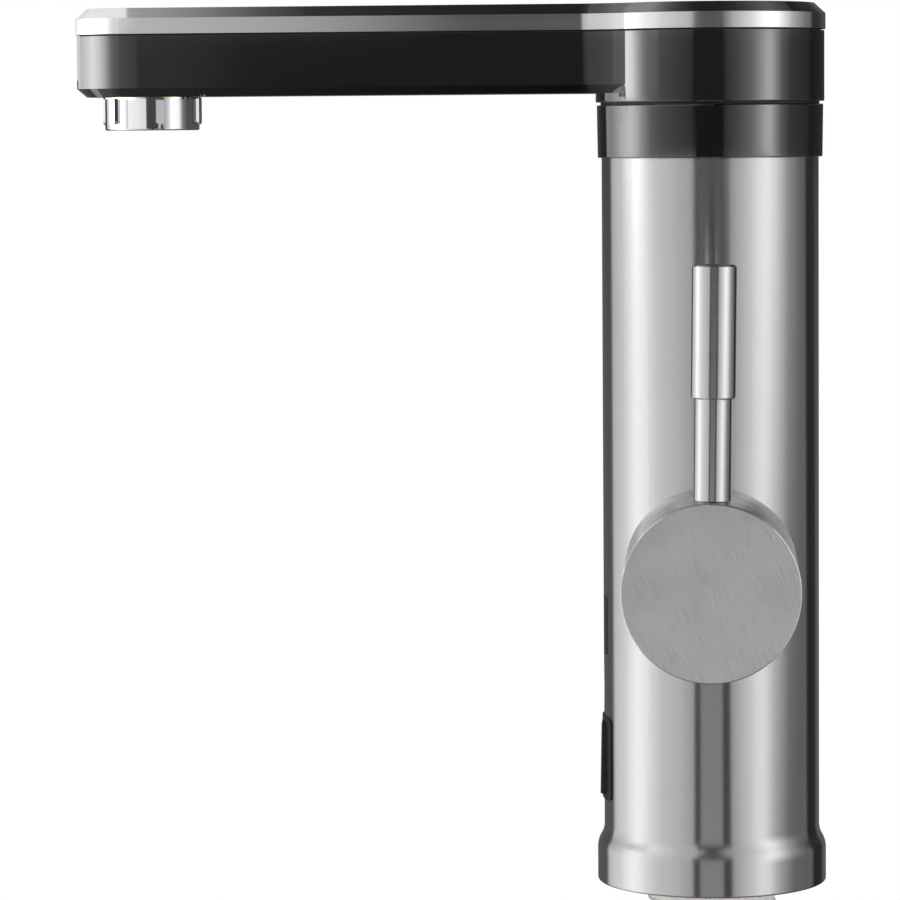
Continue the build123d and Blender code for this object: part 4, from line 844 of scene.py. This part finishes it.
# %% [markdown]
# ## The shadow gap
#
# Between the steel cover and the black housing runs a groove of less than half a
# millimetre. Nobody polishes the bottom of a groove, so there the lacquer is matt, and the
# groove reads as the fine dark line that parts the two pieces. It has one height all round,
# so a compare node on the height finds it.

# %% Matt groove
gap_middle, gap_half, gap_rough = 225.5 * MM, 0.9 * MM, 0.6


def shader_of(finish):
    """The node tree of a finish and the shader in it."""
    tree = finish.node_tree
    return tree, next(node for node in tree.nodes if node.type == "BSDF_PRINCIPLED")


tree, shader = shader_of(finishes["spout_black"])
place = add_node(tree, "ShaderNodeTexCoord")
axes = add_node(tree, "ShaderNodeSeparateXYZ", {0: place.outputs["Object"]})
groove = add_node(
    tree, "ShaderNodeMath", {0: axes.outputs["Z"], 1: gap_middle, 2: gap_half},
    operation="COMPARE",
)
polish = add_node(
    tree, "ShaderNodeMath", {0: 1.0, 1: groove.outputs[0]}, operation="SUBTRACT"
)
tree.links.new(polish.outputs[0], shader.inputs["Coat Weight"])
gloss = shader.inputs["Roughness"].links[0].from_socket
rough = add_node(
    tree, "ShaderNodeMath", {0: groove.outputs[0], 1: gap_rough, 2: gloss},
    operation="MULTIPLY_ADD",
)
tree.links.new(rough.outputs[0], shader.inputs["Roughness"])
print("groove at", round(gap_middle / MM, 1), "mm")

# %% [markdown]
# ## The marks on the rocker
#
# A rocker has an I at the end that switches on and an O at the end that switches off. They
# are pad-printed: a thin white ink, so only another colour on the same plastic. The bar is
# where a point is close to the middle line and to its height, and the ring is where a point
# is at one distance from its centre. Both are measured from the middle of the rocker, and
# they stay on its outer face.

# %% Printed marks
mark_off, bar_half, ring_r, ink_half, face_depth = 5 * MM, 1.8 * MM, 1.6 * MM, 0.3 * MM, 0.6 * MM
rocker_low, rocker_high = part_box("switch_rocker")
middle = (rocker_low.x, 0, (rocker_low.z + rocker_high.z) / 2)
tree, shader = shader_of(finishes["switch_black"])
place = add_node(tree, "ShaderNodeTexCoord")
spot = add_node(
    tree, "ShaderNodeVectorMath", {0: place.outputs["Object"], 1: middle}, operation="SUBTRACT"
)
axes = add_node(tree, "ShaderNodeSeparateXYZ", {0: spot.outputs[0]})
side = add_node(
    tree, "ShaderNodeMath", {0: axes.outputs["Y"], 1: 0.0, 2: ink_half}, operation="COMPARE"
)
ends = add_node(
    tree, "ShaderNodeMath", {0: axes.outputs["Z"], 1: mark_off, 2: bar_half}, operation="COMPARE"
)
bar = add_node(
    tree, "ShaderNodeMath", {0: side.outputs[0], 1: ends.outputs[0]}, operation="MULTIPLY"
)
low = add_node(tree, "ShaderNodeMath", {0: axes.outputs["Z"], 1: mark_off}, operation="ADD")
flat = add_node(tree, "ShaderNodeCombineXYZ", {"X": axes.outputs["Y"], "Y": low.outputs[0]})
out = add_node(tree, "ShaderNodeVectorMath", {0: flat.outputs[0]}, operation="LENGTH")
ring = add_node(
    tree, "ShaderNodeMath", {0: out.outputs["Value"], 1: ring_r, 2: ink_half}, operation="COMPARE"
)
marks = add_node(
    tree, "ShaderNodeMath", {0: bar.outputs[0], 1: ring.outputs[0]}, operation="MAXIMUM"
)
face = add_node(
    tree, "ShaderNodeMath", {0: axes.outputs["X"], 1: 0.0, 2: face_depth}, operation="COMPARE"
)
marks = add_node(
    tree, "ShaderNodeMath", {0: marks.outputs[0], 1: face.outputs[0]}, operation="MULTIPLY"
)
base = shader.inputs["Base Color"].links[0].from_socket
printed = add_node(
    tree, "ShaderNodeMix", {0: marks.outputs[0], 6: base, 7: linear("#e4e4e0")}, data_type="RGBA"
)
tree.links.new(printed.outputs[2], shader.inputs["Base Color"])
print("marks", round(2 * mark_off / MM, 1), "mm apart")


# %% [markdown]
# ## The threads
#
# Two pieces below the worktop carry threads: the nylon stem that the lock nut runs on and
# the brass inlet that takes a half-inch hose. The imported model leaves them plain, because
# a screw thread adds many faces and no function there. A thread is one tooth wound up a
# rod. So a single vertex is extruded along the tooth: up the crest, in along one flank, up
# the root and out along the other. A screw modifier winds that line up and round, the
# seams between its turns are welded, and both ends are cut flat and filled.

# %% A threaded rod
thread_steps, spare_turns, weld_share = 72, 3, 1 / 200


def threaded_rod(name, diameter, pitch, depth, low, high):
    """A closed rod round the Z axis with a thread on it, cut flat at both heights."""
    bpy.ops.object.select_all(action="DESELECT")
    bpy.ops.mesh.primitive_plane_add(size=pitch)
    rod = bpy.context.object
    rod.name = name
    bpy.ops.object.mode_set(mode="EDIT")
    bpy.ops.mesh.select_mode(type="VERT")
    bpy.ops.mesh.select_all(action="SELECT")
    bpy.ops.mesh.merge(type="CENTER")
    bpy.ops.transform.translate(value=(diameter / 2, 0, low - 2 * pitch))
    crest, flank = pitch / 8, pitch * 3 / 8
    for inward, rise in ((0, crest), (-depth, flank), (0, crest), (depth, flank)):
        bpy.ops.mesh.extrude_region_move(TRANSFORM_OT_translate={"value": (inward, 0, rise)})
    bpy.ops.object.mode_set(mode="OBJECT")
    winding = rod.modifiers.new("winding", "SCREW")
    winding.screw_offset = pitch
    winding.iterations = math.ceil((high - low) / pitch) + spare_turns
    winding.steps = winding.render_steps = thread_steps
    bpy.ops.object.modifier_apply(modifier="winding")
    bpy.ops.object.mode_set(mode="EDIT")
    bpy.ops.mesh.select_all(action="SELECT")
    bpy.ops.mesh.remove_doubles(threshold=pitch * weld_share)
    bpy.ops.mesh.bisect(
        plane_co=(0, 0, low), plane_no=(0, 0, 1), use_fill=True, clear_inner=True
    )
    bpy.ops.mesh.select_all(action="SELECT")
    bpy.ops.mesh.bisect(
        plane_co=(0, 0, high), plane_no=(0, 0, 1), use_fill=True, clear_outer=True
    )
    bpy.ops.mesh.select_all(action="SELECT")
    bpy.ops.mesh.normals_make_consistent(inside=False)
    bpy.ops.object.mode_set(mode="OBJECT")
    print(name, "wound with a pitch of", round(pitch / MM, 3), "mm")
    return rod


print("a turn of thread has", thread_steps, "steps")


# %% [markdown]
# ## Turning the blanks
#
# The plain lengths, flanges and bores are turned as on a lathe. Each is a cylinder that is
# joined to the rod or cut from it, and a cylinder with a wide bevel takes the sharp start
# off the first turn of the thread. Boolean modifiers do that and keep the rod closed.

# %% Turning
round_sides, end_reach = 96, MM / 100


def turn_down(piece, operation, diameter, low, high, centre=(0, 0), lead=0.0, flat=None):
    """Join a cylinder to a piece, cut it away, or keep what is in it. It can have a flat."""
    bpy.ops.object.select_all(action="DESELECT")
    bpy.ops.mesh.primitive_cylinder_add(
        vertices=round_sides, radius=diameter / 2, depth=high - low,
        location=(*centre, (low + high) / 2),
    )
    tool = bpy.context.object
    bpy.ops.object.transform_apply(location=True)
    if lead:
        bpy.ops.object.mode_set(mode="EDIT")
        bpy.ops.mesh.select_all(action="DESELECT")
        bpy.ops.object.mode_set(mode="OBJECT")
        for edge in tool.data.edges:
            heights = [tool.data.vertices[number].co.z for number in edge.vertices]
            edge.select = all(height < low + end_reach for height in heights)
        bpy.ops.object.mode_set(mode="EDIT")
        bpy.ops.mesh.select_mode(type="EDGE")
        bpy.ops.mesh.bevel(offset=lead, segments=1)
        bpy.ops.object.mode_set(mode="OBJECT")
    if flat:
        bpy.ops.object.mode_set(mode="EDIT")
        bpy.ops.mesh.select_all(action="SELECT")
        bpy.ops.mesh.bisect(
            plane_co=(0, flat, 0), plane_no=(0, 1, 0), use_fill=True, clear_outer=True
        )
        bpy.ops.object.mode_set(mode="OBJECT")
    change = piece.modifiers.new("turning", "BOOLEAN")
    change.operation = operation
    change.object = tool
    change.solver = "EXACT"
    bpy.ops.object.select_all(action="DESELECT")
    bpy.context.view_layer.objects.active = piece
    bpy.ops.object.modifier_apply(modifier="turning")
    bpy.data.objects.remove(tool)


print("round pieces have", round_sides, "sides")


# %% [markdown]
# ## Handing a piece over
#
# A piece that was made here takes the place of its node. It gets the node's finish, rides on
# the node's body, and its round sides are shaded smooth while its edges stay sharp.

# %% Hand over
sharp_from = math.radians(28)


def slot_of(node):
    """The finish that the record names for a node."""
    return nodes[node].data.materials[0].name.split(".")[0]


def hand_over(piece, node):
    """Finish a new piece of the column and let it stand for its node."""
    bpy.ops.object.select_all(action="DESELECT")
    piece.select_set(True)
    bpy.context.view_layer.objects.active = piece
    bpy.ops.object.shade_smooth_by_angle(angle=sharp_from)
    piece.data.materials.append(finishes[slot_of(node)])
    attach(piece, "column")
    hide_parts(node)
    size = [round(part / MM, 1) for part in piece.dimensions]
    print(piece.name, len(piece.data.polygons), "faces", size, "mm")


print("edges over", round(math.degrees(sharp_from)), "degrees stay sharp")

# %% [markdown]
# ## The stem
#
# The stem hangs from the foot through the hole in the worktop, and the lock nut runs up its
# thread: 34 mm with a pitch of 2 mm, moulded in nylon. Its flange sits in the foot. One
# large bore takes the inlet, and above it two holes let the inlet and the cable through.

# %% Stem
stem_d, stem_pitch, stem_tooth = 34.0 * MM, 2.0 * MM, 0.9 * MM
stem_bore, stem_flange_t, stem_lead, thread_top = 30.0 * MM, 2.0 * MM, 1.9 * MM, -3 * MM
inlet_y, inlet_body_d = -4.3 * MM, 20.0 * MM
cable_hole_d, cable_hole_y, slack = 8.2 * MM, 10.675 * MM, 0.1 * MM
stem_low, stem_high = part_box("mounting_stem")
flange_low = stem_high.z - stem_flange_t
stem = threaded_rod("threaded_stem", stem_d, stem_pitch, stem_tooth, stem_low.z, thread_top)
turn_down(stem, "INTERSECT", stem_d + 2 * MM, stem_low.z, thread_top + MM, lead=stem_lead)
turn_down(stem, "UNION", stem_d - slack, thread_top - MM, flange_low + MM)
turn_down(stem, "UNION", stem_high.x - stem_low.x, flange_low, stem_high.z)
turn_down(stem, "DIFFERENCE", stem_bore, stem_low.z - MM, flange_low)
for hole_d, hole_y in ((inlet_body_d, inlet_y), (cable_hole_d, cable_hole_y)):
    turn_down(stem, "DIFFERENCE", hole_d + slack, flange_low - MM, stem_high.z + MM, (0, hole_y))
hand_over(stem, "mounting_stem")

# %% [markdown]
# ## The inlet
#
# The inlet is a brass shank with the half-inch pipe thread of a supply hose: 20.95 mm, 14
# turns to the inch, which is a pitch of 1.814 mm. It is turned round the Z axis and then
# moved to its place in the stem. Its flange has a flat that clears the cable.

# %% Inlet
inlet_d, inlet_pitch, inlet_tooth, inlet_lead = 20.95 * MM, 1.814 * MM, 1.16 * MM, 2.16 * MM
inlet_bore, inlet_flange_d, inlet_flange_t = 14.0 * MM, 24.8 * MM, 2.5 * MM
flange_flat, spigot_d, spigot_bore = 5.575 * MM, 14.0 * MM, 10.0 * MM
inlet_low, inlet_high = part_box("inlet_shank")
inlet = threaded_rod("threaded_inlet", inlet_d, inlet_pitch, inlet_tooth, inlet_low.z, stem_low.z)
turn_down(inlet, "INTERSECT", inlet_d + 2 * MM, inlet_low.z, stem_low.z + MM, lead=inlet_lead)
bpy.ops.object.select_all(action="DESELECT")
inlet.select_set(True)
bpy.ops.transform.translate(value=(0, inlet_y, 0))
bpy.ops.object.transform_apply(location=True)
here, flange_top = (0, inlet_y), stem_high.z + inlet_flange_t
turn_down(inlet, "UNION", inlet_body_d, stem_low.z - MM, stem_high.z + MM, here)
turn_down(inlet, "UNION", inlet_flange_d, stem_high.z, flange_top, here, flat=flange_flat)
turn_down(inlet, "UNION", spigot_d, flange_top - MM, inlet_high.z, here)
turn_down(inlet, "DIFFERENCE", inlet_bore, inlet_low.z - MM, stem_high.z, here)
turn_down(inlet, "DIFFERENCE", spigot_bore, stem_high.z - MM, inlet_high.z + MM, here)
hand_over(inlet, "inlet_shank")

# %% [markdown]
# ## The plunger spring
#
# Water lifts a small plunger in the flow switch, and a coil spring brings it back down. It is
# wound here: a circle as thick as the wire goes round and up in a screw modifier, and its
# open ends are closed.

# %% Plunger spring
wire_d, wire_sides, coils, coil_steps = 0.9 * MM, 16, 5, 40
spring_low, spring_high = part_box("plunger_spring")
coil_r = (spring_high.x - spring_low.x - wire_d) / 2
coil_l = spring_high.z - spring_low.z - wire_d
bpy.ops.object.select_all(action="DESELECT")
bpy.ops.mesh.primitive_circle_add(
    vertices=wire_sides, radius=wire_d / 2,
    location=(coil_r, 0, spring_low.z + wire_d / 2), rotation=(math.pi / 2, 0, 0),
)
spring = bpy.context.object
spring.name = "wound_spring"
bpy.ops.object.transform_apply(location=True, rotation=True)
winding = spring.modifiers.new("winding", "SCREW")
winding.screw_offset = coil_l / coils
winding.iterations = coils
winding.steps = winding.render_steps = coil_steps
bpy.ops.object.modifier_apply(modifier="winding")
bpy.ops.object.mode_set(mode="EDIT")
bpy.ops.mesh.select_all(action="SELECT")
bpy.ops.mesh.fill_holes(sides=0)
bpy.ops.mesh.select_all(action="SELECT")
bpy.ops.mesh.normals_make_consistent(inside=False)
bpy.ops.object.mode_set(mode="OBJECT")
bpy.ops.transform.translate(value=(0, inlet_y, 0))
bpy.ops.object.transform_apply(location=True)
hand_over(spring, "plunger_spring")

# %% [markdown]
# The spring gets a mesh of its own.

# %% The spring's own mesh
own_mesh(spring)

# %% [markdown]
# ## Dress the nodes
#
# The record names a finish for every node, and the material with that name goes on.

# %% Dress
for name, piece in nodes.items():
    piece.data.materials[0] = finishes[slot_of(name)]
print("dressed", len(nodes), "nodes")

# %% [markdown]
# ## Finish
#
# The Standard view shows a colour as it was written, where the default view would soften
# it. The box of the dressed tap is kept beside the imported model's, to see that no finish or
# thread made the tap larger.

# %% Finish
bpy.context.scene.view_settings.view_transform = "Standard"
low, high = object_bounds()
print("box", [round(v, 4) for v in (*low, *high)])
